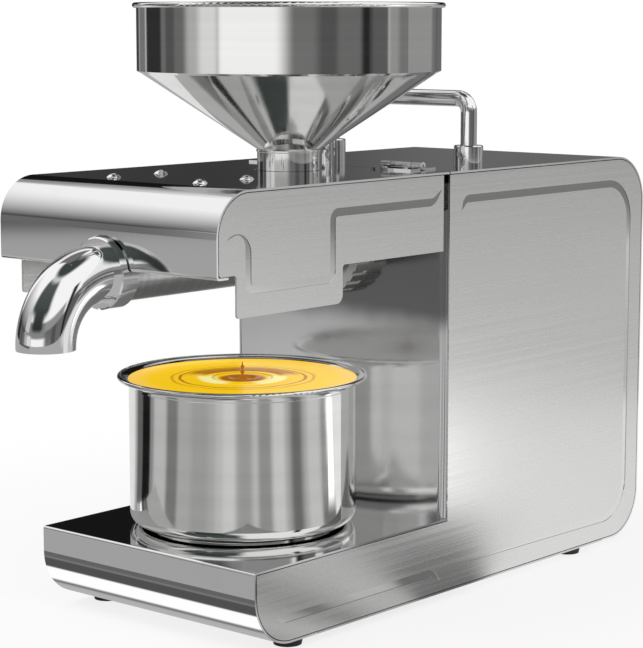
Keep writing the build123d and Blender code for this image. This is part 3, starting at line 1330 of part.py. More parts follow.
def motor_saddles():
    """The two cradles that carry the motor on the floor of the housing."""
    saddles = []
    for index in range(2):
        y0 = MOTOR_FRONT + SADDLE_INSET + index * SADDLE_PITCH
        y1 = y0 + SADDLE_THICKNESS
        top = ROTOR_AXIS[1] - MOTOR_RADIUS + SADDLE_RISE
        plate = block(-SADDLE_HALF_WIDTH, SADDLE_HALF_WIDTH, y0, y1, SHEET, top)
        plate = plate - rod_y(MOTOR_RADIUS, y0 - OVERRUN, y1 + OVERRUN, *ROTOR_AXIS)
        foot = block(-SADDLE_HALF_WIDTH, SADDLE_HALF_WIDTH, y1, y0 + SADDLE_FOOT, SHEET,
                     SHEET + SADDLE_THICKNESS)
        saddles.append(plate + foot)
    return saddles


# Electrical parts
def switch_frame(back):
    """The frame of one rocker switch, open in front."""
    outer = -HALF - SWITCH_FLANGE
    inner = -HALF + SWITCH_DEPTH
    half_width, half_tall = SWITCH_WIDTH / 2, SWITCH_TALL / 2
    flange = block(outer, -HALF, back - half_width - SWITCH_BORDER, back + half_width + SWITCH_BORDER,
                   SWITCH_HEIGHT - half_tall - SWITCH_BORDER, SWITCH_HEIGHT + half_tall + SWITCH_BORDER)
    body = block(-HALF, inner, back - half_width, back + half_width, SWITCH_HEIGHT - half_tall,
                 SWITCH_HEIGHT + half_tall)
    wall = SWITCH_BORDER
    pocket = block(outer - OVERRUN, -HALF + SWITCH_DEPTH / 2,
                   back - half_width + wall, back + half_width - wall,
                   SWITCH_HEIGHT - half_tall + wall, SWITCH_HEIGHT + half_tall - wall)
    pivot = rod_y(ROCKER_PIVOT, back - half_width + SWITCH_PIN_WALL, back + half_width - SWITCH_PIN_WALL,
                  -HALF + ROCKER_AXIS_INSET, SWITCH_HEIGHT)
    return flange + body - pocket + pivot


def rocker(back):
    """One rocker, tilted to off."""
    half_width = SWITCH_WIDTH / 2 - SWITCH_BORDER - ROCKER_GAP
    half_tall = SWITCH_TALL / 2 - SWITCH_BORDER - ROCKER_GAP * 2
    axis_x = ROCKER_AXIS_INSET
    front = -(ROCKER_AXIS_INSET + SWITCH_FLANGE + ROCKER_PROUD)
    dip = front + ROCKER_PROUD
    points = [(front, half_tall), (dip, 0), (front, -half_tall), (front + ROCKER_THICKNESS, -half_tall),
              (axis_x + ROCKER_PIVOT, -ROCKER_THICKNESS), (axis_x + ROCKER_PIVOT, ROCKER_THICKNESS),
              (front + ROCKER_THICKNESS, half_tall)]
    key = along(make_face(Polyline(*points, close=True).edges()), -half_width, half_width)
    key = key - rod_y(ROCKER_PIVOT + RUNNING_FIT, -half_width - OVERRUN, half_width + OVERRUN)
    return Pos(-HALF + ROCKER_AXIS_INSET, back, SWITCH_HEIGHT) * Rot(0, ROCKER_TILT, 0) * key


def control_board():
    """The control board beside the motor."""
    x1 = PANEL_INNER - STANDOFF_LENGTH
    return block(x1 - BOARD_THICKNESS, x1, BOARD_BACK - BOARD_SIZE / 2, BOARD_BACK + BOARD_SIZE / 2,
                 BOARD_HEIGHT - BOARD_SIZE / 2, BOARD_HEIGHT + BOARD_SIZE / 2)


def board_standoffs():
    """The four spacers that hold the board on the side panel."""
    reach = BOARD_SIZE / 2 - STANDOFF_INSET
    return [rod_x(STANDOFF_RADIUS, PANEL_INNER - STANDOFF_LENGTH, PANEL_INNER, BOARD_BACK + side * reach,
                  BOARD_HEIGHT + end * reach) for side in (-1, 1) for end in (-1, 1)]


def board_parts():
    """The capacitors and relays on the board."""
    face = PANEL_INNER - STANDOFF_LENGTH - BOARD_THICKNESS
    pitch = BOARD_SIZE / 4
    edge = BOARD_SIZE / 2 - PARTS_EDGE_GAP
    parts = [rod_x(CAPACITOR_RADIUS, face - CAPACITOR_LENGTH, face, BOARD_BACK + side * pitch,
                   BOARD_HEIGHT + edge - CAPACITOR_RADIUS) for side in (-1, 0, 1)]
    for side in (-1, 1):
        y = BOARD_BACK + side * pitch
        z = BOARD_HEIGHT - edge + RELAY_WIDTH / 2
        parts.append(block(face - RELAY_DEPTH, face, y - RELAY_LENGTH / 2, y + RELAY_LENGTH / 2,
                           z - RELAY_WIDTH / 2, z + RELAY_WIDTH / 2))
    return parts


def power_inlet():
    """The appliance inlet on the back."""
    x, z = INLET_SIDE, INLET_HEIGHT
    flange = block(x - INLET_FLANGE_WIDTH / 2, x + INLET_FLANGE_WIDTH / 2, REAR_DEPTH, REAR_END,
                   z - INLET_FLANGE_TALL / 2, z + INLET_FLANGE_TALL / 2)
    body = block(x - INLET_WIDTH / 2, x + INLET_WIDTH / 2, REAR_END - INLET_DEPTH, REAR_DEPTH,
                 z - INLET_TALL / 2, z + INLET_TALL / 2)
    half_width, half_tall = INLET_POCKET_WIDTH / 2, INLET_POCKET_TALL / 2
    cut = half_tall / 2
    x0, x1 = x - half_width, x + half_width
    z0, z1 = z - half_tall, z + half_tall
    outline = Polyline((x0, z0), (x1, z0), (x1, z1 - cut), (x1 - cut, z1), (x0 + cut, z1), (x0, z1 - cut),
                       close=True)
    pocket = along(make_face(outline.edges()), REAR_END - INLET_POCKET_DEPTH, REAR_END + OVERRUN)
    return flange + body - pocket


def inlet_pins():
    """The three pins of the inlet."""
    pins = []
    for index in (-1, 0, 1):
        x = INLET_SIDE + index * INLET_PIN_PITCH
        z = INLET_HEIGHT + (INLET_PIN_OFFSET if index == 0 else -INLET_PIN_OFFSET)
        floor = REAR_END - INLET_POCKET_DEPTH
        pins.append(block(x - INLET_PIN_WIDTH / 2, x + INLET_PIN_WIDTH / 2, floor, REAR_DEPTH,
                          z - INLET_PIN_TALL / 2, z + INLET_PIN_TALL / 2))
    return pins


NODES = {
    "side_panel_right": lambda: side_panel(1),
    "side_panel_left": lambda: side_panel(-1),
    "rear_wrap": rear_wrap,
    "front_wall": front_wall,
    "base_wrap": base_wrap,
    "bottom_plate": bottom_plate,
    "rubber_feet": rubber_feet,
    "foot_screws": foot_screws,
    "case_screws": case_screws,
    "handle_bar": handle_bar,
    "handle_sockets": handle_sockets,
    "handle_set_screws": handle_set_screws,
    "hinge_rear_leaves": hinge_rear_leaves,
    "hinge_pins": hinge_pins,
    "hinge_cover_leaves": hinge_cover_leaves,
    "cover_shell": cover_shell,
    "cover_side_right": lambda: cover_side(1),
    "cover_side_left": lambda: cover_side(-1),
    "heat_shield": heat_shield,
    "cover_screws": cover_screws,
    "hopper_bowl": hopper_bowl,
    "hopper_neck": hopper_neck,
    "oil_cup": oil_cup,
    "residue_elbow": residue_elbow,
    "elbow_collar": elbow_collar,
    "press_barrel": press_barrel,
    "chamber_seat": chamber_seat,
    "chamber_nut": chamber_nut,
    "heating_ring": heating_ring,
    "press_screw": press_screw,
    "output_shaft": output_shaft,
    "output_gear": output_gear,
    "slow_idler_shaft": slow_idler_shaft,
    "slow_idler_gear": slow_idler_gear,
    "fast_idler_shaft": fast_idler_shaft,
    "fast_idler_gear": fast_idler_gear,
    "gearbox_case": gearbox_case,
    "gearbox_cover": gearbox_cover,
    "gearbox_screws": gearbox_screws,
    "gearbox_stand": gearbox_stand,
    "shaft_bearings": shaft_bearings,
    "thrust_bearing": thrust_bearing,
    "motor_case": motor_case,
    "motor_end_plate": motor_end_plate,
    "field_magnets": field_magnets,
    "rotor_shaft": rotor_shaft,
    "rotor_core": rotor_core,
    "commutator": commutator,
    "carbon_brushes": carbon_brushes,
    "brush_holders": brush_holders,
    "motor_fan": motor_fan,
    "motor_saddles": motor_saddles,
    "switch_frames": lambda: [switch_frame(back) for back in SWITCH_BACKS],
    "heat_rocker": lambda: rocker(SWITCH_BACKS[0]),
    "press_rocker": lambda: rocker(SWITCH_BACKS[1]),
    "control_board": control_board,
    "board_standoffs": board_standoffs,
    "board_parts": board_parts,
    "power_inlet": power_inlet,
    "inlet_pins": inlet_pins,
}


def as_solids(shape):
    """The solids of a shape or of a list of shapes."""
    shapes = shape if isinstance(shape, list) else [shape]
    return [solid for item in shapes for solid in item.solids()]


os.makedirs("parts", exist_ok=True)
for name, make in NODES.items():
    solids = [solid.moved(SHIFT) for solid in as_solids(make())]
    node = solids[0] if len(solids) == 1 else Compound(children=solids)
    export_step(node, f"parts/{name}.step")
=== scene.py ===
"""A household screw oil press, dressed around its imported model.

All lengths are metres in the model's own frame: +Z is up, the cake elbow points towards -Y, and
the panel without switches faces +X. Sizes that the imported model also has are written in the
seam's own millimetres, where the cover meets the housing, and moved by Seam.
"""

import json
import logging
import math
from dataclasses import dataclass, field
from enum import Enum
from functools import cache
from typing import ClassVar, Optional, Sequence, Union

import bpy
import numpy as np
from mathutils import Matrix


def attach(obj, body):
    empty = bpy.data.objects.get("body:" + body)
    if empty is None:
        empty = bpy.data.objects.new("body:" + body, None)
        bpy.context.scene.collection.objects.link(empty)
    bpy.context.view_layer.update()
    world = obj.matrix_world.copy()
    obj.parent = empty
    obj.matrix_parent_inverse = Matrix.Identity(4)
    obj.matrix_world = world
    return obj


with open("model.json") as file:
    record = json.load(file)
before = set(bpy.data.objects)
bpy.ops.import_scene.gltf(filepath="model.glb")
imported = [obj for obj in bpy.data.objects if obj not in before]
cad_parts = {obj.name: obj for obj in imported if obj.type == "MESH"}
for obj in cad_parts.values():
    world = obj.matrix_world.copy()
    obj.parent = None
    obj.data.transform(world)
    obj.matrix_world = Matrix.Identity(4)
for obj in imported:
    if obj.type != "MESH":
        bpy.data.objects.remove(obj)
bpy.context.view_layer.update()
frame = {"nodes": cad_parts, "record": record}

LOG = logging.getLogger("oil_press")
MILLIMETRE = 0.001
QUARTER_TURN = math.pi / 2
FULL_TURN = 2.0 * math.pi
# Glossy Depth is above this where something is seen by way of two mirrors or more.
SECOND_MIRROR = 1.5
Place = tuple[float, float, float]
Colour = tuple[float, float, float]
Socket = bpy.types.NodeSocket
Sockets = bpy.types.bpy_prop_collection
Value = Union[float, Socket]
Vector = Union[Place, Socket]
Tint = Union[tuple[float, float, float, float], Socket]


class Slot(str, Enum):
    """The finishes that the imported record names."""

    SATIN_STEEL = "satin_steel"
    POLISHED_SHEET = "polished_sheet"
    POLISHED_BOWL = "polished_bowl"
    BRIGHT_CHROME = "bright_chrome"
    MACHINED_STEEL = "machined_steel"
    GEAR_STEEL = "gear_steel"
    BEARING_BRONZE = "bearing_bronze"
    BLACK_RUBBER = "black_rubber"
    BLACK_PLASTIC = "black_plastic"
    SWITCH_RED = "switch_plastic"
    SWITCH_BLACK = "switch_plastic_black"
    CAST_ALUMINIUM = "cast_aluminium"
    MOTOR_PAINT = "motor_paint"
    ZINC_STEEL = "zinc_steel"
    FERRITE = "ferrite"
    CORE_IRON = "core_iron"
    COPPER = "copper"
    CARBON = "carbon"
    FAN_PLASTIC = "fan_plastic"
    BOARD_GREEN = "board_green"
    BOARD_PARTS = "board_parts"


@dataclass(frozen=True)
class Seam:
    """The place that sizes are measured from: the seam of cover and housing, under the panels."""

    depth: float = 23.1
    height: float = 5.0

    def point(self, x: float, y: float, z: float) -> Place:
        """Moves millimetres right of, behind and above the seam to metres in the model's frame."""
        return (x * MILLIMETRE, (y + self.depth) * MILLIMETRE, (z + self.height) * MILLIMETRE)


SEAM = Seam()


def opaque(colour: Colour) -> tuple[float, float, float, float]:
    """A colour with full cover."""
    return (*colour, 1.0)


def stand(name: str, data: bpy.types.ID) -> bpy.types.Object:
    """Puts a mesh, a lamp or a camera into the scene.

    Args:
        name: The object's name.
        data: The mesh, lamp or camera.

    Returns:
        The new object, at the origin.
    """
    made = bpy.data.objects.new(name, data)
    bpy.context.scene.collection.objects.link(made)
    return made


class Recipe:
    """A node tree that is being put together, of a material, a shared effect or the world."""

    def __init__(self, tree: bpy.types.NodeTree) -> None:
        """Starts from an emptied tree."""
        self.tree = tree
        tree.nodes.clear()

    def put(self, kind: str, sockets: Optional[dict] = None, **settings: object) -> bpy.types.Node:
        """Adds a node.

        Args:
            kind: The node's type name.
            sockets: Values or sockets for its inputs, by name or index.
            **settings: The node's own properties.

        Returns:
            The new node.
        """
        node = self.tree.nodes.new(kind)
        for name, value in settings.items():
            setattr(node, name, value)
        for name, value in (sockets or {}).items():
            self.feed(node.inputs[name], value)
        return node

    def feed(self, socket: Socket, value: Union[Value, Vector, Tint]) -> None:
        """Links a socket, or sets its constant.

        Args:
            socket: The input to feed.
            value: Another node's output, or a constant.
        """
        if isinstance(value, bpy.types.NodeSocket):
            self.tree.links.new(value, socket)
        else:
            socket.default_value = value

    def end(self, shader: Socket, kind: str = "ShaderNodeOutputMaterial") -> None:
        """Makes a shader the tree's surface."""
        self.put(kind, {"Surface": shader})

    def maths(self, operation: str, first: Value, second: Value = 0.0, third: Value = 0.0) -> Socket:
        """Works out a value with a Math node's operation."""
        return self.put("ShaderNodeMath", {0: first, 1: second, 2: third}, operation=operation).outputs[0]

    def times(self, first: Value, second: Value) -> Socket:
        """Multiplies two values."""
        return self.maths("MULTIPLY", first, second)

    def more(self, mask: Value, change: Value, start: Value) -> Socket:
        """Adds a change to a start, by as much as a mask says."""
        return self.maths("MULTIPLY_ADD", mask, change, start)

    def vector_maths(self, operation: str, first: Vector, second: Vector = (0.0, 0.0, 0.0)) -> Socket:
        """Works out a vector, or the value of a length or of a dot product."""
        node = self.put("ShaderNodeVectorMath", {0: first, 1: second}, operation=operation)
        return node.outputs["Value" if operation in ("LENGTH", "DOT_PRODUCT") else "Vector"]

    def scaled(self, vector: Vector, scale: Value) -> Socket:
        """Multiplies a vector by a value."""
        return self.put("ShaderNodeVectorMath", {0: vector, "Scale": scale}, operation="SCALE").outputs[0]

    def parts(self, vector: Vector) -> Sockets:
        """Takes a vector apart into X, Y and Z."""
        return self.put("ShaderNodeSeparateXYZ", {0: vector}).outputs

    def ramp(self, value: Value, low: float, high: float, start: float = 0.0, end: float = 1.0) -> Socket:
        """Eases a value from the range of low to high into that of start to end, held at its ends."""
        spans = dict(enumerate((value, low, high, start, end)))
        return self.put("ShaderNodeMapRange", spans, interpolation_type="SMOOTHSTEP", clamp=True).outputs[0]

    def mix(self, share: Value, first: Tint, second: Tint, kind: str = "MIX") -> Socket:
        """Mixes a share of the second colour into the first, or blends it in by another kind."""
        node = self.put("ShaderNodeMix", {0: share, 6: first, 7: second}, data_type="RGBA", blend_type=kind)
        return node.outputs[2]

    def grey(self, tone: Value) -> Socket:
        """Makes a tone a grey colour."""
        return self.put("ShaderNodeCombineColor", {0: tone, 1: tone, 2: tone}).outputs[0]

    def noise(self, vector: Vector, scale: Value, detail: float = 3.0, rough: float = 0.5,
              warp: float = 0.0) -> Socket:
        """Adds a cloudy pattern.

        Args:
            vector: Where it is read.
            scale: Its cells per unit.
            detail: How many finer layers it has.
            rough: How strong those layers are.
            warp: How far it bends itself.

        Returns:
            The pattern's value.
        """
        node = self.put("ShaderNodeTexNoise", {
            "Vector": vector, "Scale": scale, "Detail": detail, "Roughness": rough, "Distortion": warp})
        return node.outputs[0]

    def place(self, scale: Place = (1.0, 1.0, 1.0), centre: Place = (0.0, 0.0, 0.0),
              turn: Place = (0.0, 0.0, 0.0)) -> Socket:
        """Reads Object coordinates from a centre, turned by angles in radians and stretched."""
        spot = self.vector_maths("SUBTRACT", self.put("ShaderNodeTexCoord").outputs["Object"], centre)
        return self.put("ShaderNodeMapping", {"Vector": spot, "Rotation": turn, "Scale": scale}).outputs[0]

    def bump(self, height: Socket, distance: float) -> Socket:
        """Shades a height from 0 to 1, where 1 stands for a distance in metres."""
        node = self.put("ShaderNodeBump", {"Height": height, "Distance": distance, "Strength": 1.0})
        return node.outputs[0]


class Paint(Recipe):
    """The recipe of a new material."""

    def __init__(self, name: str) -> None:
        """Makes the material.

        Args:
            name: The material's name.
        """
        self.material = bpy.data.materials.new(name)
        self.material.use_nodes = True
        super().__init__(self.material.node_tree)


class Coat(Paint):
    """The recipe of a new material that ends in one Principled shader."""

    def __init__(self, finish: "Finish") -> None:
        """Makes the material, with the finish's even colour and roughness.

        Args:
            finish: The finish that it is for.
        """
        super().__init__(finish.name)
        shader = self.put("ShaderNodeBsdfPrincipled", {
            "Base Color": opaque(finish.colour), "Roughness": finish.roughness, "Metallic": finish.METALLIC})
        self.shader = shader.inputs
        self.end(shader.outputs[0])

    def lay(self, name: str, value: Union[Value, Tint]) -> None:
        """Feeds one of the shader's inputs."""
        self.feed(self.shader[name], value)

    def laid(self, name: str) -> Socket:
        """What one of the shader's inputs is fed from so far."""
        return self.shader[name].links[0].from_socket

    def dim(self, tone: Socket) -> None:
        """Multiplies the colour that is laid so far by a tone."""
        self.lay("Base Color", self.mix(1.0, self.laid("Base Color"), self.grey(tone), "MULTIPLY"))


class Effect:
    """A shader node group that several finishes place with their own values.

    An input that has no usual value is a vector. The other inputs and the outputs are numbers.
    """

    NAME: ClassVar[str] = ""
    INPUTS: ClassVar[dict[str, Optional[float]]] = {}
    OUTPUTS: ClassVar[tuple[str, ...]] = ()

    @classmethod
    @cache
    def tree(cls) -> bpy.types.NodeTree:
        """The group's tree, built the first time that a finish asks for it."""
        tree = bpy.data.node_groups.new(cls.NAME, "ShaderNodeTree")
        for name, usual in cls.INPUTS.items():
            kind = "NodeSocketVector" if usual is None else "NodeSocketFloat"
            socket = tree.interface.new_socket(name, in_out="INPUT", socket_type=kind)
            if usual is not None:
                socket.default_value = usual
        for name in cls.OUTPUTS:
            tree.interface.new_socket(name, in_out="OUTPUT", socket_type="NodeSocketFloat")
        recipe = Recipe(tree)
        recipe.put("NodeGroupOutput", cls.fill(recipe, recipe.put("NodeGroupInput").outputs))
        return tree

    @classmethod
    def fill(cls, recipe: Recipe, entry: Sockets) -> dict[str, Socket]:
        """Builds the inside of the group from its inputs, and gives a socket for each output's name."""
        raise NotImplementedError

    @classmethod
    def use(cls, recipe: Recipe, **values: Union[Value, Vector]) -> Sockets:
        """Places the group in a material.

        Args:
            recipe: The material's recipe.
            **values: A value or socket for each input, with underscores for spaces.

        Returns:
            The placed node's outputs.
        """
        node = recipe.put("ShaderNodeGroup", node_tree=cls.tree())
        for name, value in values.items():
            recipe.feed(node.inputs[name.replace("_", " ")], value)
        return node.outputs


class BrushLines(Effect):
    """Fine parallel lines from a belt, on coordinates that are already stretched along them."""

    NAME = "brush_lines"
    INPUTS = {"Vector": None, "Scale": 1.0}
    OUTPUTS = ("Height", "Tone")

    @classmethod
    def fill(cls, recipe: Recipe, entry: Sockets) -> dict[str, Socket]:
        """Height is a fine noise and a finer one, and Tone is a broader noise along the same lines."""
        fine = recipe.noise(entry["Vector"], entry["Scale"], 4.0, 0.65)
        wide = recipe.noise(entry["Vector"], recipe.times(entry["Scale"], 0.22), 2.0)
        return {"Height": fine, "Tone": recipe.ramp(wide, 0.3, 0.7)}


class HandMarks(Effect):
    """Faint wiped smudges and fingerprints' haze on a polished surface."""

    NAME = "hand_marks"
    INPUTS = {"Vector": None, "Scale": 1.0, "Amount": 0.5}
    OUTPUTS = ("Mask",)

    @classmethod
    def fill(cls, recipe: Recipe, entry: Sockets) -> dict[str, Socket]:
        """Mask is a warped noise where it is high, broken up by a finer one, times the amount."""
        spot = recipe.scaled(entry["Vector"], entry["Scale"])
        cloud = recipe.ramp(recipe.noise(spot, 14.0, 4.0, 0.55, 0.8), 0.48, 0.78)
        streak = recipe.ramp(recipe.noise(spot, 90.0, 2.0, 0.5), 0.35, 0.75)
        both = recipe.times(cloud, streak)
        return {"Mask": recipe.times(both, entry["Amount"])}


class HairScratches(Effect):
    """Sparse fine scratches in two directions."""

    NAME = "hair_scratches"
    INPUTS = {"Vector": None, "Density": 0.5}
    OUTPUTS = ("Mask",)

    @classmethod
    def fill(cls, recipe: Recipe, entry: Sockets) -> dict[str, Socket]:
        """Mask is where a long thin noise passes through its middle value, kept in a few patches."""
        found = None
        for turn in ((0.3, 0.2, 0.7), (1.1, 0.5, 2.1)):
            laid = recipe.put("ShaderNodeMapping", {
                "Vector": entry["Vector"], "Rotation": turn, "Scale": (900.0, 25.0, 60.0)}).outputs[0]
            line = recipe.maths("ABSOLUTE", recipe.maths("SUBTRACT", recipe.noise(laid, 1.0, 0.0), 0.5))
            thin = recipe.ramp(line, 0.0, 0.006, 1.0, 0.0)
            found = thin if found is None else recipe.maths("MAXIMUM", found, thin)
        patch = recipe.ramp(recipe.noise(entry["Vector"], 30.0, 2.0), 0.55, 0.7)
        kept = recipe.times(found, patch)
        return {"Mask": recipe.times(kept, entry["Density"])}


class RolledWaves(Effect):
    """The slight waviness of rolled and bent sheet, which bends what it mirrors."""

    NAME = "rolled_waves"
    INPUTS = {"Vector": None, "Scale": 1.0}
    OUTPUTS = ("Height",)

    @classmethod
    def fill(cls, recipe: Recipe, entry: Sockets) -> dict[str, Socket]:
        """Height is a slow noise with hardly any finer layers."""
        spot = recipe.scaled(entry["Vector"], entry["Scale"])
        return {"Height": recipe.noise(spot, 9.0, 1.0, 0.35, 0.3)}


class TurnedRings(Effect):
    """The rings that a lathe or a spinning tool leaves round an axis along the vector's Z."""

    NAME = "turned_rings"
    INPUTS = {"Vector": None, "Pitch": 0.0005}
    OUTPUTS = ("Height", "Tone")

    @classmethod
    def fill(cls, recipe: Recipe, entry: Sockets) -> dict[str, Socket]:
        """Height is a noise of (radius, height) over the pitch, so it is the same all the way round."""
        parts = recipe.parts(entry["Vector"])
        flat = recipe.put("ShaderNodeCombineXYZ", {0: parts[0], 1: parts[1]}).outputs[0]
        radius = recipe.vector_maths("LENGTH", flat)
        pair = recipe.put("ShaderNodeCombineXYZ", {
            0: recipe.maths("DIVIDE", radius, entry["Pitch"]),
            1: recipe.maths("DIVIDE", parts[2], entry["Pitch"])}).outputs[0]
        fine = recipe.noise(pair, 1.0, 2.0)
        wide = recipe.noise(pair, 0.07, 2.0)
        return {"Height": fine, "Tone": recipe.ramp(wide, 0.3, 0.7)}


class GrainySkin(Effect):
    """The pebbled skin of a casting, a moulding, rubber or thick paint."""

    NAME = "grainy_skin"
    INPUTS = {"Vector": None, "Scale": 1.0}
    OUTPUTS = ("Height", "Tone")

    @classmethod
    def fill(cls, recipe: Recipe, entry: Sockets) -> dict[str, Socket]:
        """Height is rounded cells mixed with noise, and Tone is a slow cloud."""
        cells = recipe.put("ShaderNodeTexVoronoi", {"Vector": entry["Vector"], "Scale": entry["Scale"]},
                           feature="SMOOTH_F1")
        fine = recipe.noise(entry["Vector"], recipe.times(entry["Scale"], 2.3), 4.0, 0.6)
        height = recipe.more(cells.outputs["Distance"], 0.6, recipe.times(fine, 0.4))
        return {"Height": height, "Tone": recipe.ramp(recipe.noise(entry["Vector"], 22.0, 3.0), 0.3, 0.7)}


@dataclass(frozen=True)
class Finish:
    """A surface finish: its material's name, colour and roughness, and how to build its nodes."""

    METALLIC: ClassVar[float] = 1.0
    name: str
    colour: Colour
    roughness: float

    @cache
    def material(self) -> bpy.types.Material:
        """The finish's material, built the first time that it is asked for."""
        coat = Coat(self)
        self.paint(coat)
        return coat.material

    def paint(self, coat: Coat) -> None:
        """Adds the finish's own nodes to the coat."""
        raise NotImplementedError

    def wear(self, coat: Coat, tone: Socket, mottle: float, height: Socket, depth: float,
             *masks: tuple[Socket, float]) -> None:
        """Lays the colour, the roughness and the relief.

        Args:
            coat: The material's recipe.
            tone: From 0, where the colour is darkest, to 1.
            mottle: The largest darkening, as a share.
            height: The relief, from 0 to 1.
            depth: What a height of 1 stands for, in metres.
            *masks: Each mask with the roughness that it adds.
        """
        darkest = tuple(part * (1.0 - mottle) for part in self.colour)
        coat.lay("Base Color", coat.mix(tone, opaque(darkest), opaque(self.colour)))
        rough = self.roughness
        for mask, change in masks:
            rough = coat.more(mask, change, rough)
        coat.lay("Roughness", rough)
        coat.lay("Normal", coat.bump(height, depth))


@dataclass(frozen=True)
class BrushedSheet(Finish):
    """Satin stainless sheet with belt lines along the press's depth."""

    stretch: Place = (2600.0, 14.0, 2600.0)
    depth: float = 0.000003
    mottle: float = 0.03

    def paint(self, coat: Coat) -> None:
        """Adds belt lines, wiped marks and a slight mottle.

        Args:
            coat: The material's recipe.
        """
        lines = BrushLines.use(coat, Vector=coat.place(self.stretch))
        marks = HandMarks.use(coat, Vector=coat.place(), Scale=0.6, Amount=0.5)
        self.wear(coat, lines["Tone"], self.mottle, lines["Height"], self.depth,
                  (lines["Tone"], 0.06), (marks["Mask"], 0.08))


@dataclass(frozen=True)
class LinedPanel(BrushedSheet):
    """Satin side panel whose pressed line has a polished floor.

    The line's floor lies below the panel's face and above its back, so its distance from the
    middle of the press says where it is. Higher up its colour is darkened by painted shade, for
    the less light that it mirrors there.
    """

    floor_inside: float = 0.08440
    floor_outside: float = 0.08492
    line_roughness: float = 0.07
    line_shade: float = 0.45
    shade_from: float = 0.195
    shade_by: float = 0.235

    def paint(self, coat: Coat) -> None:
        """Adds the satin sheet's nodes, and smooths the line and darkens it upwards by painted shade.

        Args:
            coat: The material's recipe.
        """
        super().paint(coat)
        spot = coat.parts(coat.place())
        side = coat.maths("ABSOLUTE", spot["X"])
        line = coat.times(coat.maths("GREATER_THAN", side, self.floor_inside),
                          coat.maths("LESS_THAN", side, self.floor_outside))
        plain = coat.maths("SUBTRACT", 1.0, line)
        # Painted shade: the line's colour is multiplied down to line_shade from shade_from up to shade_by.
        loss = coat.ramp(spot["Z"], self.shade_from, self.shade_by, 0.0, self.line_shade - 1.0)
        coat.dim(coat.more(line, loss, 1.0))
        coat.lay("Roughness", coat.more(line, self.line_roughness, coat.times(coat.laid("Roughness"), plain)))
        relief = coat.laid("Normal").node.inputs["Height"]
        coat.feed(relief, coat.times(relief.links[0].from_socket, plain))


@dataclass(frozen=True)
class MirrorSheet(Finish):
    """Mirror-polished stainless sheet.

    Waves is how deep its waves are, in metres, stain the largest darkening by marks, and the two
    kinds of wear are the roughness that marks and scratches add.
    """

    waves: float = 0.00006
    wave_scale: float = 1.0
    mark_scale: float = 1.0
    scratches: float = 0.6
    stain: float = 0.10
    mark_wear: float = 0.05
    scratch_wear: float = 0.12

    def paint(self, coat: Coat) -> None:
        """Adds wiped marks, hair scratches and slight waves.

        Args:
            coat: The material's recipe.
        """
        spot = coat.place()
        marks = HandMarks.use(coat, Vector=spot, Scale=self.mark_scale, Amount=0.5)["Mask"]
        scratches = HairScratches.use(coat, Vector=spot, Density=self.scratches)["Mask"]
        waves = RolledWaves.use(coat, Vector=spot, Scale=self.wave_scale)["Height"]
        self.wear(coat, coat.maths("SUBTRACT", 1.0, marks), self.stain, waves, self.waves,
                  (marks, self.mark_wear), (scratches, self.scratch_wear))


@dataclass(frozen=True)
class ChromePlate(MirrorSheet):
    """Bright plated or buffed steel, whose waves are a faint orange peel."""

    waves: float = 0.000008
    wave_scale: float = 7.0
    mark_scale: float = 2.5
    scratches: float = 0.5
    stain: float = 0.08
    mark_wear: float = 0.06
    scratch_wear: float = 0.15


@dataclass(frozen=True)
class ShadedWallSheet(MirrorSheet):
    """Mirror sheet darkened towards its top by painted shade, for the dark cover that it mirrors there.

    Where it is seen by way of other mirrors, as between itself and the cup, it glows with a painted
    reflection: a tone of its own that stands in for the many mirrorings that a renderer cuts short.
    """

    clear_below: float = SEAM.point(0, 0, 158)[2]
    dark_above: float = SEAM.point(0, 0, 176)[2]
    painted_shade: float = 0.28
    drift: float = 0.008
    between: Colour = (0.20, 0.20, 0.20)

    def paint(self, coat: Coat) -> None:
        """Adds the polished sheet's nodes, painted shade towards the top and a glowing painted reflection.

        Args:
            coat: The material's recipe.
        """
        super().paint(coat)
        spot = coat.place()
        # Painted shade: the colour darkens with the height, from clear_below up to dark_above.
        height = coat.more(coat.noise(spot, 30.0, 2.0), self.drift, coat.parts(spot)["Z"])
        coat.dim(coat.ramp(height, self.clear_below, self.dark_above, 1.0, self.painted_shade))
        # Painted reflection: a grey emission where the sheet is seen by way of other mirrors.
        depth = coat.put("ShaderNodeLightPath").outputs["Glossy Depth"]
        between = coat.maths("GREATER_THAN", depth, SECOND_MIRROR)
        coat.lay("Emission Color", coat.mix(between, opaque((0.0, 0.0, 0.0)), opaque(self.between)))
        coat.lay("Emission Strength", 1.0)


@dataclass(frozen=True)
class SpunSteel(Finish):
    """Polished steel that was spun or turned about an axis."""

    centre: Place = (0.0, 0.0, 0.0)
    turn: Place = (0.0, 0.0, 0.0)
    pitch: float = 0.0007
    depth: float = 0.0000006
    mottle: float = 0.06

    def paint(self, coat: Coat) -> None:
        """Adds faint tool rings and wiped marks.

        Args:
            coat: The material's recipe.
        """
        axis = coat.place(centre=self.centre, turn=self.turn)
        rings = TurnedRings.use(coat, Vector=axis, Pitch=self.pitch)
        marks = HandMarks.use(coat, Vector=coat.place(), Scale=1.2, Amount=0.4)
        self.wear(coat, rings["Tone"], self.mottle, rings["Height"], self.depth,
                  (rings["Tone"], 0.03), (marks["Mask"], 0.06))


@dataclass(frozen=True)
class WorkedMetal(Finish):
    """Milled, cast, sintered, stacked or plated metal that is left as it comes from the tool."""

    grain: float = 900.0
    depth: float = 0.00003
    mottle: float = 0.25
    oily: float = 0.3

    def paint(self, coat: Coat) -> None:
        """Adds a grainy skin, a mottled colour and patches of oil film.

        Args:
            coat: The material's recipe.
        """
        spot = coat.place()
        skin = GrainySkin.use(coat, Vector=spot, Scale=self.grain)
        film = HandMarks.use(coat, Vector=spot, Scale=2.0, Amount=self.oily)
        self.wear(coat, skin["Tone"], self.mottle, skin["Height"], self.depth, (film["Mask"], -0.2))


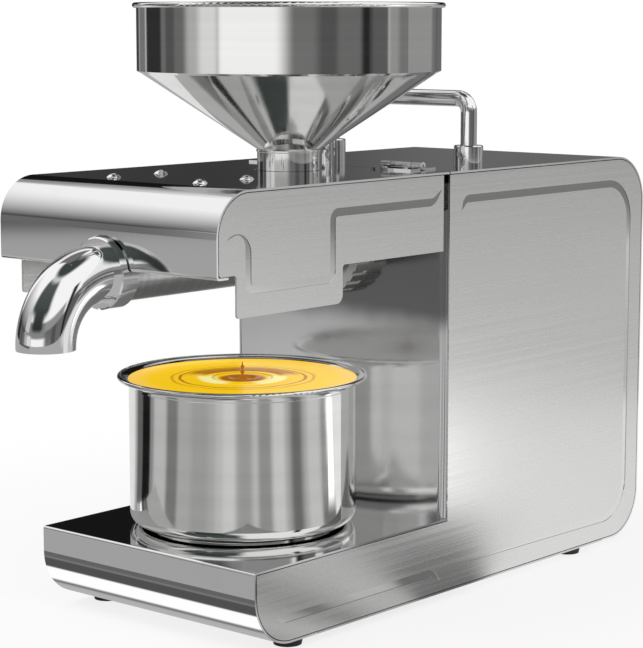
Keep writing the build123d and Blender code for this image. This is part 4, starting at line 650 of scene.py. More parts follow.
@dataclass(frozen=True)
class Moulding(Finish):
    """Rubber, plastic, paint or resin with its moulded or sprayed skin."""

    METALLIC = 0.0
    grain: float = 1500.0
    depth: float = 0.00004
    mottle: float = 0.2
    dust: float = 0.5
    gloss: float = 0.0

    def paint(self, coat: Coat) -> None:
        """Adds a grainy skin, a mottled colour and a little dust.

        Args:
            coat: The material's recipe.
        """
        spot = coat.place()
        skin = GrainySkin.use(coat, Vector=spot, Scale=self.grain)
        dust = HandMarks.use(coat, Vector=spot, Scale=4.0, Amount=self.dust)["Mask"]
        self.wear(coat, skin["Tone"], self.mottle, skin["Height"], self.depth, (dust, 0.2))
        dusty = tuple(min(1.0, part * 1.4 + 0.03) for part in self.colour)
        coat.lay("Base Color", coat.mix(dust, coat.laid("Base Color"), opaque(dusty)))
        coat.lay("Coat Weight", self.gloss)
        coat.lay("Coat Roughness", 0.08)


@dataclass(frozen=True)
class PressedOil(Finish):
    """Fresh golden oil, with painted amber shade and painted cream highlights where the ripples bend
    what lies below and above it.

    Radii and widths are millimetres about the middle of the cup. Right and back are the directions,
    over the surface, in which the rings are pale and amber, and a name with side or back gives the
    cosines to them between which a mask fades in. A band is the radius of its middle, half its width,
    and how far it fades out.
    """

    METALLIC = 0.0
    centre: Place = (0.0, 0.0, 0.0)
    amber: Colour = (0.40, 0.13, 0.003)
    cream: Colour = (1.0, 0.92, 0.36)
    pale: Colour = (0.98, 0.62, 0.10)
    # A painted reflection: the grey that the oil shows where mirrors see it.
    mirrored: Colour = (0.16, 0.16, 0.155)
    right: Place = (0.757, 0.653, 0.0)
    back: Place = (-0.653, 0.757, 0.0)
    heart: tuple[float, float] = (15.5, 12.0)
    ends: tuple[float, float] = (53.0, 66.0)
    highlight_crescent: tuple[float, float, float] = (21.0, 3.6, 3.6)
    shade_arc: tuple[float, float, float] = (29.5, 4.2, 3.0)
    arc_share: float = 0.9
    ends_side: tuple[float, float] = (0.5, 0.95)
    crescent_side: tuple[float, float] = (0.20, 0.60)
    crescent_back: tuple[float, float] = (0.45, 0.05)
    arc_back: tuple[float, float] = (0.15, 0.60)
    rings: tuple[tuple[float, float], ...] = ((42.0, 0.5), (37.0, 0.85), (17.5, 0.45))
    ring_half: float = 0.35
    ring_fade: float = 1.1
    # Painted light: the strength with which the oil shines with its own colour, though it is no lamp.
    painted_glow: float = 0.85
    albedo: float = 0.45

    def band(self, coat: Coat, radius: Socket, middle: float, half: float, fade: float) -> Socket:
        """The mask of a band: full within half its width of its middle, and gone a fade further."""
        off = coat.maths("ABSOLUTE", coat.maths("SUBTRACT", radius, middle))
        return coat.ramp(off, half + fade, half)

    def paint(self, coat: Coat) -> None:
        """Lays the painted highlights of the pale ends and the cream crescents, and the painted shade of
        the amber rings, over the golden colour.

        Args:
            coat: The material's recipe.
        """
        spot = coat.place((1.0, 1.0, 0.0), self.centre)
        away = coat.vector_maths("NORMALIZE", spot)
        side = coat.maths("ABSOLUTE", coat.vector_maths("DOT_PRODUCT", away, self.right))
        behind = coat.vector_maths("DOT_PRODUCT", away, self.back)
        true = coat.maths("DIVIDE", coat.vector_maths("LENGTH", spot), MILLIMETRE)
        radius = coat.times(true, coat.ramp(coat.noise(spot, 45.0, 2.0), 0.2, 0.8, 0.97, 1.03))
        # Painted highlights: the pale ends and the cream crescents. Painted shade: the amber band behind, the
        # rings and the heart.
        ends = coat.times(coat.ramp(true, *self.ends), coat.ramp(side, *self.ends_side))
        highlight_crescent = coat.times(self.band(coat, radius, *self.highlight_crescent), coat.ramp(side, *self.crescent_side))
        highlight_crescent = coat.times(highlight_crescent, coat.ramp(behind, *self.crescent_back))
        shade_arc = coat.times(self.band(coat, radius, *self.shade_arc), coat.ramp(behind, *self.arc_back))
        dark = coat.times(shade_arc, self.arc_share)
        for middle, share in self.rings:
            ring = self.band(coat, radius, middle, self.ring_half, self.ring_fade)
            dark = coat.maths("MAXIMUM", dark, coat.times(ring, share))
        dark = coat.maths("MAXIMUM", dark, coat.ramp(radius, *self.heart))
        # Painted reflection: where mirrors see the oil, its colour becomes the mirrored grey.
        glossy = coat.put("ShaderNodeLightPath").outputs["Is Glossy Ray"]
        golden = opaque(self.colour)
        for mask, colour in ((ends, self.pale), (highlight_crescent, self.cream), (dark, self.amber),
                             (glossy, self.mirrored)):
            golden = coat.mix(mask, golden, opaque(colour))
        coat.lay("Base Color", coat.mix(1.0, golden, opaque((self.albedo,) * 3), "MULTIPLY"))
        # Painted light: the oil emits its golden colour as if lit.
        coat.lay("Emission Color", golden)
        cloud = coat.noise(spot, 60.0, 3.0, 0.5, 0.4)
        coat.lay("Roughness", coat.ramp(cloud, 0.2, 0.8, self.roughness, self.roughness * 1.6))
        for name, value in (("Emission Strength", self.painted_glow), ("Specular IOR Level", 0.08),
                            ("Coat Weight", 0.15), ("Coat Roughness", 0.03), ("Coat IOR", 1.47)):
            coat.lay(name, value)


class Surface:
    """A mesh worked out as a grid of points, or as a profile turned about an axis."""

    def __init__(self, name: str) -> None:
        """Names the piece."""
        self.name = name

    def piece(self, points: np.ndarray, faces: list[list[int]], smooth: bool = True) -> bpy.types.Object:
        """Puts points and faces into a mesh object at the origin.

        Args:
            points: An n by 3 array of places in metres.
            faces: The point numbers of each face, counted outwards.
            smooth: Whether the faces are shaded smooth.

        Returns:
            The new object.
        """
        mesh = bpy.data.meshes.new(self.name)
        mesh.from_pydata(points.tolist(), [], faces)
        mesh.validate()
        mesh.update()
        mesh.polygons.foreach_set("use_smooth", np.full(len(mesh.polygons), smooth))
        return stand(self.name, mesh)

    @staticmethod
    def grid_faces(rows: int, columns: int, closed: bool) -> np.ndarray:
        """Quads between neighbouring points of a grid.

        Args:
            rows: How many rows of points it has.
            columns: How many points a row has.
            closed: Whether the last column joins the first.

        Returns:
            An array of four point numbers each.
        """
        last = columns if closed else columns - 1
        row, column = np.meshgrid(np.arange(rows - 1), np.arange(last), indexing="ij")
        beside = (column + 1) % columns
        corners = [row * columns + column, row * columns + beside,
                   (row + 1) * columns + beside, (row + 1) * columns + column]
        return np.stack(corners, axis=-1).reshape(-1, 4)

    @staticmethod
    def rows_round(radius: np.ndarray, height: Union[np.ndarray, float], columns: int,
                   start: float = 0.0) -> np.ndarray:
        """Points in rows round the vertical axis.

        A point is its row's radius times the cosine and sine of its column's angle, at its height.

        Args:
            radius: Each row's radius, as a column.
            height: Each row's height, as a column, or that of them all.
            columns: How many points a row has.
            start: The first column's angle in degrees.

        Returns:
            The points, as rows by columns by 3.
        """
        turn = np.radians(np.linspace(start, start + 360.0, columns, endpoint=False))
        return np.stack(np.broadcast_arrays(radius * np.cos(turn), radius * np.sin(turn), height), axis=-1)

    @staticmethod
    def fan(pole: int, start: int, around: int) -> np.ndarray:
        """Triangles from a pole to each two neighbours of the closed row that begins at a point."""
        here = np.arange(around)
        return np.stack([np.full(around, pole), start + here, start + (here + 1) % around], axis=-1)

    def turned(self, profile: np.ndarray, centre: Sequence[float], around: int) -> bpy.types.Object:
        """Turns a profile, which starts and ends on the axis, about a vertical axis.

        Args:
            profile: An n by 2 array of (radius, height), from the bottom on the axis, up the outside
                and back to the axis on top.
            centre: The axis' place in metres.
            around: How many points a full turn has.

        Returns:
            The closed piece.
        """
        ring = profile[1:-1]
        points = self.rows_round(ring[:, :1], ring[:, 1:], around).reshape(-1, 3)
        poles = [[0.0, 0.0, profile[end, 1]] for end in (0, -1)]
        wall = self.grid_faces(len(ring), around, True)
        below = self.fan(len(points), 0, around)[:, [0, 2, 1]]
        above = self.fan(len(points) + 1, len(points) - around, around)
        return self.piece(np.concatenate([points, poles]) + [centre[0], centre[1], 0.0],
                          [*wall.tolist(), *below.tolist(), *above.tolist()])


SCREW_AXIS = SEAM.point(0, 0, 205)
ALONG_DEPTH = (QUARTER_TURN, 0.0, 0.0)
SATIN_PANEL = LinedPanel("satin_side_panel", (0.80, 0.80, 0.79), 0.24)
SATIN_INSIDE = BrushedSheet("satin_inner_sheet", (0.70, 0.70, 0.69), 0.30)
MIRROR_SHEET = MirrorSheet("mirror_sheet", (0.86, 0.86, 0.86), 0.06)
WALL_SHEET = ShadedWallSheet("front_wall_sheet", (0.84, 0.84, 0.84), 0.13)
CHROME = ChromePlate("bright_chrome_plate", (0.90, 0.90, 0.90), 0.04)
LOCK_RING = SpunSteel("satin_lock_ring", (0.90, 0.90, 0.89), 0.36, SCREW_AXIS, ALONG_DEPTH,
                      pitch=0.0005, depth=0.000003)
SLOT_FINISHES: dict[Slot, Finish] = {
    Slot.SATIN_STEEL: SATIN_INSIDE,
    Slot.POLISHED_SHEET: MIRROR_SHEET,
    Slot.BRIGHT_CHROME: CHROME,
    Slot.MACHINED_STEEL: SpunSteel(
        "machined_steel", (0.60, 0.60, 0.60), 0.22, SCREW_AXIS, ALONG_DEPTH,
        pitch=0.0004, depth=0.000004, mottle=0.15),
    Slot.GEAR_STEEL: WorkedMetal("gear_steel", (0.46, 0.46, 0.47), 0.32, 1400.0, 0.00001, 0.2, 0.8),
    Slot.BEARING_BRONZE: WorkedMetal("sintered_bronze", (0.70, 0.48, 0.24), 0.38, 2600.0, 0.00003),
    Slot.BLACK_RUBBER: Moulding("black_rubber", (0.022, 0.022, 0.022), 0.72, 1800.0, 0.00005),
    Slot.BLACK_PLASTIC: Moulding("black_moulding", (0.020, 0.020, 0.021), 0.42),
    Slot.SWITCH_RED: Moulding("red_rocker", (0.50, 0.02, 0.012), 0.28, 2600.0, 0.00001, 0.1, 0.3, 0.4),
    Slot.SWITCH_BLACK: Moulding("black_rocker", (0.016, 0.016, 0.017), 0.28, 2600.0, 0.00001, 0.1, 0.3, 0.4),
    Slot.CAST_ALUMINIUM: WorkedMetal("cast_aluminium", (0.62, 0.62, 0.62), 0.46, 700.0, 0.00008, 0.2, 0.1),
    Slot.MOTOR_PAINT: Moulding("black_motor_paint", (0.03, 0.03, 0.033), 0.36, 900.0, 0.00005, 0.2, 0.4, 0.3),
    Slot.ZINC_STEEL: WorkedMetal("zinc_plate", (0.66, 0.66, 0.63), 0.30, 2000.0, 0.00001, 0.18, 0.2),
    Slot.FERRITE: Moulding("ferrite", (0.07, 0.07, 0.075), 0.55, 1600.0, 0.00006, 0.25),
    Slot.CORE_IRON: WorkedMetal("stacked_core", (0.22, 0.21, 0.21), 0.42, 1200.0, 0.00003, 0.35),
    Slot.COPPER: WorkedMetal("bare_copper", (0.78, 0.36, 0.20), 0.26, 1800.0, 0.00001, 0.3),
    Slot.CARBON: Moulding("pressed_carbon", (0.035, 0.035, 0.036), 0.5, 2400.0, 0.00003),
    Slot.FAN_PLASTIC: Moulding("fan_moulding", (0.055, 0.055, 0.06), 0.45),
    Slot.BOARD_GREEN: Moulding("board_resin", (0.015, 0.13, 0.045), 0.3, 2200.0, 0.00002, 0.35, 0.3, 0.5),
    Slot.BOARD_PARTS: Moulding("board_components", (0.04, 0.04, 0.045), 0.4),
}


@dataclass
class SubAssembly:
    """A group of the press's own parts that are dressed together."""

    nodes: tuple[str, ...] = ()
    special: dict[str, Finish] = field(default_factory=dict)

    def slots(self) -> dict[str, Slot]:
        """The record's slot of each of its nodes."""
        told = {part["node"]: part["material_slot"] for part in frame["record"]["subparts"]}
        return {name: Slot(told[name]) for name in self.nodes}

    def dress(self) -> None:
        """Gives each node its own finish, or that of its slot."""
        for name, slot in self.slots().items():
            finish = self.special.get(name) or SLOT_FINISHES[slot]
            piece = frame["nodes"][name]
            piece.data.materials.clear()
            piece.data.materials.append(finish.material())
            LOG.info("%s wears %s", name, finish.name)

    def build(self) -> None:
        """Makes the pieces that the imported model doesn't have."""


@dataclass
class Housing(SubAssembly):
    """Panels, sheets, feet and screws of the body."""

    nodes: tuple[str, ...] = (
        "side_panel_right", "side_panel_left", "rear_wrap", "front_wall", "base_wrap", "bottom_plate",
        "rubber_feet", "foot_screws", "case_screws")
    special: dict[str, Finish] = field(default_factory=lambda: {
        "side_panel_right": SATIN_PANEL, "side_panel_left": SATIN_PANEL, "front_wall": WALL_SHEET})


@dataclass
class Handle(SubAssembly):
    """Carrying handle, its sockets and their grub screws."""

    nodes: tuple[str, ...] = ("handle_bar", "handle_sockets", "handle_set_screws")


@dataclass
class Cover(SubAssembly):
    """Flip-up cover with its heat shield and hinges."""

    nodes: tuple[str, ...] = (
        "cover_shell", "cover_side_right", "cover_side_left", "heat_shield", "cover_screws",
        "hinge_cover_leaves", "hinge_rear_leaves", "hinge_pins")
    special: dict[str, Finish] = field(default_factory=lambda: {
        "cover_side_right": SATIN_PANEL, "cover_side_left": SATIN_PANEL})


@dataclass
class Hopper(SubAssembly):
    """Spun hopper and its neck."""

    back: float = 46.6
    nodes: tuple[str, ...] = ("hopper_bowl", "hopper_neck")

    def __post_init__(self) -> None:
        """Centres the spinning rings on the hopper."""
        spun = SpunSteel("spun_hopper", (0.88, 0.88, 0.87), 0.05, SEAM.point(0, -self.back, 0))
        self.special = dict.fromkeys(self.nodes, spun)


@dataclass
class OilCup(SubAssembly):
    """The cup, the oil in it and the last oil that falls. Its sizes are seam millimetres."""

    side: float = -5.7
    back: float = 82.5
    floor: float = 46.9
    radius: float = 66.4
    corner: float = 6.0
    neck: float = 127.7
    level: float = 131.6
    level_radius: float = 68.3
    clearance: float = 0.05
    ripple_pitch: float = 9.4
    ripple_height: float = 0.42
    ripple_reach: float = 26.0
    jet_height: float = 2.6
    jet_radius: float = 1.6
    crater: float = 0.6
    crater_radius: float = 9.0
    meniscus: float = 0.5
    meniscus_reach: float = 1.2
    beads: tuple[tuple[float, float], ...] = ((3.2, 0.95), (6.4, 0.85))
    bead_spread: float = 1.0
    thread: float = 0.32
    thread_foot: float = 0.6
    thread_top: float = 9.6
    thread_tip: float = 0.8
    thread_points: tuple[int, int] = (60, 32)
    corner_points: int = 9
    points_across: int = 240
    points_around: int = 192
    nodes: tuple[str, ...] = ("oil_cup",)

    def __post_init__(self) -> None:
        """Centres the spinning rings on the cup, and the oil's rings on its middle."""
        self.centre = SEAM.point(self.side, -self.back, 0)
        self.special = {"oil_cup": SpunSteel("spun_cup", (0.88, 0.88, 0.87), 0.05, self.centre)}
        self.oil = PressedOil("golden_oil", (1.0, 0.62, 0.003), 0.16,
                              SEAM.point(self.side, -self.back, self.level))

    def ripple(self, radius: np.ndarray) -> np.ndarray:
        """The oil's height over its level, in millimetres.

        It is a cosine of the radius over the pitch that dies away outwards, a shallow crater in the
        middle, a thin jet that rises from it, and a meniscus that climbs the wall.

        Args:
            radius: Distances from the middle, in millimetres.

        Returns:
            The heights at those distances.
        """
        faded = np.exp(-((radius / self.ripple_reach) ** 2))
        rings = self.ripple_height * np.cos(FULL_TURN * radius / self.ripple_pitch) * faded
        crater = -self.crater * np.exp(-((radius / self.crater_radius) ** 2))
        jet = self.jet_height * np.exp(-((radius / self.jet_radius) ** 2))
        meniscus = self.meniscus * np.exp(-(self.level_radius - radius) / self.meniscus_reach)
        return rings + crater + jet + meniscus

    def turned(self, name: str, profile: np.ndarray, around: int) -> bpy.types.Object:
        """Turns a profile in seam millimetres about the cup's axis."""
        risen = profile * MILLIMETRE + np.array([0.0, SEAM.height * MILLIMETRE])
        return Surface(name).turned(risen, self.centre, around)

    def oil_body(self) -> bpy.types.Object:
        """The oil as one closed body that stands a hair clear of the cup.

        Its profile goes out along the floor, round the corner, up the wall and the flare, and back
        to the middle over the rippled surface.

        Returns:
            The oil's piece.
        """
        wall = self.radius - self.clearance
        low = self.floor + self.clearance
        bend = np.linspace(-QUARTER_TURN, 0.0, self.corner_points)
        corner = np.stack([wall - self.corner + self.corner * np.cos(bend),
                           low + self.corner + self.corner * np.sin(bend)], axis=-1)
        across = np.linspace(self.level_radius, 0.0, self.points_across)
        surface = np.stack([across, self.level + self.ripple(across)], axis=-1)
        profile = np.concatenate([[[0.0, low]], corner, [[wall, self.neck]], surface])
        return self.turned("pressed_oil", profile, self.points_around)

    def falling_thread(self) -> bpy.types.Object:
        """The last oil that falls: a thin thread with two beads on it.

        Its radius at a height is the thread's, plus a bell curve about each bead, times a round end.

        Returns:
            The thread's piece.
        """
        along, around = self.thread_points
        rise = np.linspace(self.thread_foot, self.thread_top, along)
        radius = np.full_like(rise, self.thread)
        for middle, swell in self.beads:
            radius = radius + swell * np.exp(-(((rise - middle) / self.bead_spread) ** 2))
        radius = radius * np.sqrt(np.clip((self.thread_top - rise) / self.thread_tip, 0.0, 1.0))
        radius[0] = radius[-1] = 0.0
        return self.turned("oil_thread", np.stack([radius, self.level + rise], axis=-1), around)

    def build(self) -> None:
        """Fills the cup and lets it ride with the oil in it."""
        for piece in (self.oil_body(), self.falling_thread()):
            piece.data.materials.append(self.oil.material())
            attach(piece, "cup")
            LOG.info("%s fills the cup", piece.name)


@dataclass
class CakeElbow(SubAssembly):
    """The elbow that turns the dry cake downwards."""

    nodes: tuple[str, ...] = ("residue_elbow", "elbow_collar")


@dataclass
class PressChamber(SubAssembly):
    """Chamber, screw, lock ring and band heater."""

    nodes: tuple[str, ...] = (
        "press_barrel", "chamber_seat", "chamber_nut", "heating_ring", "press_screw")
    special: dict[str, Finish] = field(default_factory=lambda: {"chamber_nut": LOCK_RING})


@dataclass
class Gearbox(SubAssembly):
    """Three gear stages in their case."""

    nodes: tuple[str, ...] = (
        "output_shaft", "output_gear", "slow_idler_shaft", "slow_idler_gear", "fast_idler_shaft",
        "fast_idler_gear", "gearbox_case", "gearbox_cover", "gearbox_screws", "gearbox_stand",
        "shaft_bearings", "thrust_bearing")


@dataclass
class Motor(SubAssembly):
    """Brushed motor with its fan and cradles."""

    nodes: tuple[str, ...] = (
        "motor_case", "motor_end_plate", "field_magnets", "rotor_shaft", "rotor_core", "commutator",
        "carbon_brushes", "brush_holders", "motor_fan", "motor_saddles")


@dataclass
class Electrics(SubAssembly):
    """Switches, control board and mains inlet."""

    nodes: tuple[str, ...] = (
        "switch_frames", "heat_rocker", "press_rocker", "control_board", "board_standoffs",
        "board_parts", "power_inlet", "inlet_pins")


ROOM_TINT: Colour = (0.84, 1.0, 0.95)


def eased(share: np.ndarray) -> np.ndarray:
    """A share from 0 to 1 that leaves both of its ends gently."""
    return share * share * (3.0 - 2.0 * share)


@dataclass(frozen=True)
class Card:
    """A soft-edged grey card of the tent that shiny surfaces mirror.

    Azimuths are degrees from +X towards +Y. On the tent's wall, low and high are degrees above the
    level of the press, and on its floor they are metres from the middle. The tone goes evenly from
    one edge to the other, and soft and blur are the widths over which the sides, and the lower and
    upper edges, fade out.
    """

    start: float
    end: float
    low: float
    high: float
    soft: float
    blur: float
    tone: float
    far_tone: Optional[float] = None
    tint: Colour = (1.0, 1.0, 1.0)

    def cover(self, azimuth: np.ndarray, reach: np.ndarray) -> np.ndarray:
        """How much of the card lies at each place, from 0 to 1.

        It is the eased product of two shares: one by how far the azimuth is inside the sides, and
        one by how far the reach is inside the lower and upper edges.

        Args:
            azimuth: Azimuths in degrees.
            reach: Elevations or distances.

        Returns:
            The cover at each place.
        """
        middle = (self.start + self.end) / 2.0
        off = np.abs((azimuth - middle + 180.0) % 360.0 - 180.0)
        across = np.clip(((self.end - self.start) / 2.0 - off) / self.soft + 0.5, 0.0, 1.0)
        inside = np.minimum(reach - self.low, self.high - reach)
        upward = np.clip(inside / self.blur + 0.5, 0.0, 1.0)
        return eased(across * upward)

    def shade(self, reach: np.ndarray) -> np.ndarray:
        """The card's tinted tone at each elevation or distance."""
        last = self.tone if self.far_tone is None else self.far_tone
        share = np.clip((reach - self.low) / (self.high - self.low), 0.0, 1.0)
        return (self.tone + (last - self.tone) * share)[..., None] * np.array(self.tint)


def cards(*rows: tuple) -> tuple[Card, ...]:
    """Cards, each from a row with its fields in their order."""
    return tuple(Card(*row) for row in rows)


def stripes(low: float, high: float, blur: float, *rows: tuple) -> tuple[Card, ...]:
    """Cards side by side, each from a row with its first and last azimuth, soft sides and tone."""
    return tuple(Card(start, end, low, high, soft, blur, tone) for start, end, soft, tone in rows)


def ladder(start: float, end: float, *rungs: tuple[float, float]) -> tuple[Card, ...]:
    """Cards one above the other, each from its own lower edge up past the zenith, with its tone."""
    return tuple(Card(start, end, low, high=120, soft=6, blur=2.5, tone=tone) for low, tone in rungs)


@dataclass(frozen=True)
class Lamp:
    """A soft square lamp that faces the press and isn't mirrored."""

    name: str
    place: Place
    size: float
    power: float
    target: Place = (0.0, 0.0, 0.15)

    def hang(self) -> None:
        """Hangs the lamp, with the side that it shines from towards its target."""
        data = bpy.data.lights.new(self.name, "AREA")
        data.shape = "SQUARE"
        data.size = self.size
        data.energy = self.power
        made = stand(self.name, data)
        made.location = self.place
        across, along, up = np.array(self.target) - np.array(self.place)
        made.rotation_euler = (QUARTER_TURN + math.atan2(up, math.hypot(across, along)), 0.0,
                               math.atan2(-across, along))
        made.visible_glossy = False


@dataclass
class Studio:
    """Pale floor, white surroundings, soft lamps, a mirrored tent of cards, and the camera.

    The tent's tones are what mirrors show of it. Its deep tones are what they show by way of other
    mirrors.
    """

    camera_place: Place = (0.8522, -0.98080, 0.3480)
    camera_turn: float = 40.82
    camera_dip: float = 8.115
    lens: float = 119.3
    sensor: float = 36.0
    nearest: float = 0.05
    furthest: float = 60.0
    floor_radius: float = 9.0
    floor_colour: Colour = (0.90, 0.90, 0.90)
    floor_points: tuple[int, int] = (12, 96)
    white_from: float = 0.22
    white_by: float = 0.60
    white_near: float = 0.80
    ambient: float = 0.62
    tent_radius: float = 4.0
    tent_level: float = 0.15
    tent_rises: tuple[float, float] = (-4.0, 89.5)
    tent_seam: float = -180.0
    tent_start: float = 0.10
    tent_lift: float = 0.0008
    wall_points: tuple[int, int] = (188, 720)
    ring_points: tuple[int, int] = (100, 720)
    strip_points: int = 260
    stripe_centre: Place = (-0.0057, -0.0594, 0.0)
    strip_sides: tuple[float, float] = (-0.32, 0.10)
    strip_blur: float = 0.004
    tent_tone: float = 1.0
    floor_tone: float = 0.42
    deep_floor: float = 0.50
    lamps: tuple[Lamp, ...] = (
        Lamp("key_lamp", (-1.1, -1.3, 2.2), 1.4, 26.0), Lamp("fill_lamp", (1.6, -0.6, 1.9), 1.6, 14.0))
    wall_cards: tuple[Card, ...] = cards(
        # Overhead, which the cone of the hopper mirrors by way of the cover's top.
        (-180, 179.99, 70, 120, 0.01, 10, 0.06, None, ROOM_TINT),
        (126, 176, 52, 80, 6, 6, 0.17),
        (104, 113, 40, 80, 4, 6, 0.35),
        (84, 96, 35, 80, 4, 6, 0.25),
        # Front left: from the dark horizon up to the white ceiling, for the nose and the elbow.
        (-178, -118, 8, 42, 6, 1, 0.09, 1.0),
        (-178, -132, -3, 9.5, 3, 1.5, 0.075),
        # The dark room round the camera, and the grey below it.
        (-126, -46, 5, 20, 8, 3, 0.25),
        (-122, -50, 26, 66, 16, 12, 0.06, 0.11, ROOM_TINT),
        (-104, -62, 12, 34, 16, 6, 0.03, 0.06, ROOM_TINT),
        (-50, 2, 9, 20, 8, 4, 0.30),
        (-131, -112, 9.5, 24, 3, 3, 0.60),
        (-52, -4, -4, 11, 16, 3, 0.20, 0.13),
        (-28, -12, -4, 11, 9, 3, 0.09),
        (-12, 12, -4, 11, 6, 3, 0.15),
        (12, 30, -4, 16, 4, 6, 0.11),
        (6, 14, -4, 30, 5, 3, 0.02),
        (30, 100, -4, 12, 4, 6, 0.31),
        (40, 50, -4, 12, 6, 6, 0.19),
        (86, 100, -4, 12, 6, 6, 0.17),
        # Left edge of round pieces.
        (-160, -102, -4, 7, 2, 3, 0.09),
        (-142, -102, -4, 7, 4, 3, 0.15),
        (-130, -102, -4, 7, 8, 3, 0.45),
        (-118, -102, -4, 7, 8, 3, 0.75),
        (-159, -152, -4, 8, 3, 3, 0.16),
        (-182, -158, -4, 8, 4, 3, 0.03),
        # Back left: flat tops mirror its foot, the tray its middle, and the nose all of it.
        (96, 166, 8.5, 34, 8, 3, 0.008),
        (96, 166, 34, 48, 6, 4, 0.15, 1.0),
        (96, 160, -4, 9.5, 8, 3, 0.06, 0.035),
        (96, 130, -4, 9.5, 9, 3, 0.17, 0.12),
        (160, 177, -4, 9.5, 5, 3, 0.20, 0.16),
    )
    deep_cards: tuple[Card, ...] = (
        *cards((-139, -123, -4, 14, 4, 3, 0.60)),
        *ladder(123, 222, (10, 0.36), (27, 0.50), (43, 0.20), (49, 0.075), (57, 0.24), (66, 0.10),
                (71, 0.19)),
        *ladder(40, 128, (10, 0.12), (19, 0.20), (29, 0.48), (43, 0.26), (49, 0.42), (53, 0.85), (62, 0.62),
                (70, 0.90), (74, 1.40)),
    )
    floor_cards: tuple[Card, ...] = (
        # Radial stripes that the cup mirrors, as seen from its middle.
        *stripes(0.10, 1.1, 0.2, (136, 180, 8, 0.80), (-174, -162, 6, 0.13), (-163, -148, 4, 0.010)),
        *stripes(0.10, 1.0, 0.2, (-148, -142, 6, 0.24), (-143, -126, 8, 0.52), (-125, -112, 5, 0.20),
                 (-97, -80, 8, 0.36), (-73, -64, 6, 0.52), (-66, -54, 6, 0.63), (-51, -40, 6, 0.35),
                 (-38, -33, 5, 0.52), (-32, -21, 5, 0.30), (-19, -7, 6, 0.62), (-1, 11, 8, 0.16),
                 (17, 32, 7, 0.58)),
        *cards((34, 40, 0.10, 0.9, 4, 0.2, 0.32),
               (41, 51, 0.24, 0.85, 4, 0.15, 1.80),
               (51, 72, 0.24, 0.9, 5, 0.15, 0.86),
               (34, 52, 0.05, 0.36, 4, 0.10, 0.18),
               (54, 74, 0.05, 0.34, 4, 0.10, 0.86),
               # What the right-hand panels mirror further off.
               (18, 78, 0.85, 1.4, 8, 0.2, 0.56, 0.54),
               (10, 85, 1.3, 2.4, 8, 0.3, 0.56, 0.70),
               (10, 85, 2.4, 5.0, 8, 0.3, 0.48),
               (20, 43, 0.95, 2.6, 6, 0.2, 0.80),
               # What the front face and the upper front wall mirror.
               (-155, -105, 1.2, 5.0, 6, 0.2, 0.40),
               (-158, -105, 2.45, 5.0, 4, 0.25, 0.10)),
    )
    # The front edge and the tone of each strip of the floor just in front of the base and under it,
    # which the base's round lower edge mirrors. They run along X, and the last ends at the end.
    strips: tuple[tuple[float, float], ...] = (
        (-0.330, 0.40), (-0.222, 0.14), (-0.200, 0.20), (-0.189, 0.09), (-0.1615, 1.15), (-0.1405, 0.20),
        (-0.1360, 0.48))
    strips_end: float = -0.095

    def aim(self) -> None:
        """Sets the camera at the photograph's own place and angle."""
        data = bpy.data.cameras.new("camera")
        data.lens = self.lens
        data.sensor_width = self.sensor
        data.sensor_fit = "AUTO"
        data.clip_start = self.nearest
        data.clip_end = self.furthest
        made = stand("camera", data)
        made.location = self.camera_place
        made.rotation_euler = (math.radians(90.0 - self.camera_dip), 0.0, math.radians(self.camera_turn))
        bpy.context.scene.camera = made

    def surround(self) -> None:
        """Makes the world white to the camera and in mirrors, and a plain soft light elsewhere."""
        world = bpy.data.worlds.new("studio")
        world.use_nodes = True
        bpy.context.scene.world = world
        recipe = Recipe(world.node_tree)
        path = recipe.put("ShaderNodeLightPath").outputs
        seen = recipe.maths("MAXIMUM", path["Is Camera Ray"], path["Is Glossy Ray"])
        seen = recipe.maths("MAXIMUM", seen, path["Is Transmission Ray"])
        light = recipe.put("ShaderNodeBackground", {
            "Color": opaque((1.0, 1.0, 1.0)), "Strength": recipe.ramp(seen, 0.0, 1.0, self.ambient, 1.0)})
        recipe.end(light.outputs[0], "ShaderNodeOutputWorld")

    def floor(self) -> None:
        """Lays a round floor that fades to the background's white away from the press."""
        rings, columns = self.floor_points
        radius = np.linspace(0.0, self.floor_radius, rings)[1:, None]
        points = Surface.rows_round(radius, 0.0, columns).reshape(-1, 3)
        quads = Surface.grid_faces(rings - 1, columns, True)[:, ::-1]
        fan = Surface.fan(len(points), 0, columns)
        made = Surface("studio_floor").piece(
            np.concatenate([points, np.zeros((1, 3))]), [*quads.tolist(), *fan.tolist()], False)
        paint = Paint("pale_floor")
        away = paint.vector_maths("LENGTH", paint.place())
        fade = paint.times(paint.put("ShaderNodeLightPath").outputs["Is Camera Ray"],
                           paint.ramp(away, self.white_from, self.white_by, self.white_near, 1.0))
        matt = paint.put("ShaderNodeBsdfPrincipled", {
            "Base Color": opaque(self.floor_colour), "Roughness": 0.9, "Specular IOR Level": 0.0})
        white = paint.put("ShaderNodeEmission", {"Strength": 1.0})
        both = paint.put("ShaderNodeMixShader", {0: fade, 1: matt.outputs[0], 2: white.outputs[0]})
        paint.end(both.outputs[0])
        made.data.materials.append(paint.material)

    def painted(self, laid: Sequence[Card], reach: np.ndarray, columns: int, plain: float) -> np.ndarray:
        """The colours of cards that are laid over a plain tone.

        Going through the cards, the tone at a place becomes the card's by as much as it covers it.

        Args:
            laid: The cards, the uppermost last.
            reach: Each row's elevation in degrees, or its distance in metres.
            columns: How many points a row has.
            plain: The tone where no card lies.

        Returns:
            The colours, as rows by columns by 3.
        """
        azimuth = np.linspace(self.tent_seam, self.tent_seam + 360.0, columns, endpoint=False)
        reach = reach[:, None] * np.ones_like(azimuth)
        tone = np.full((*reach.shape, 3), plain)
        for card in laid:
            cover = card.cover(azimuth, reach)[..., None]
            tone = tone + (card.shade(reach) - tone) * cover
        return tone

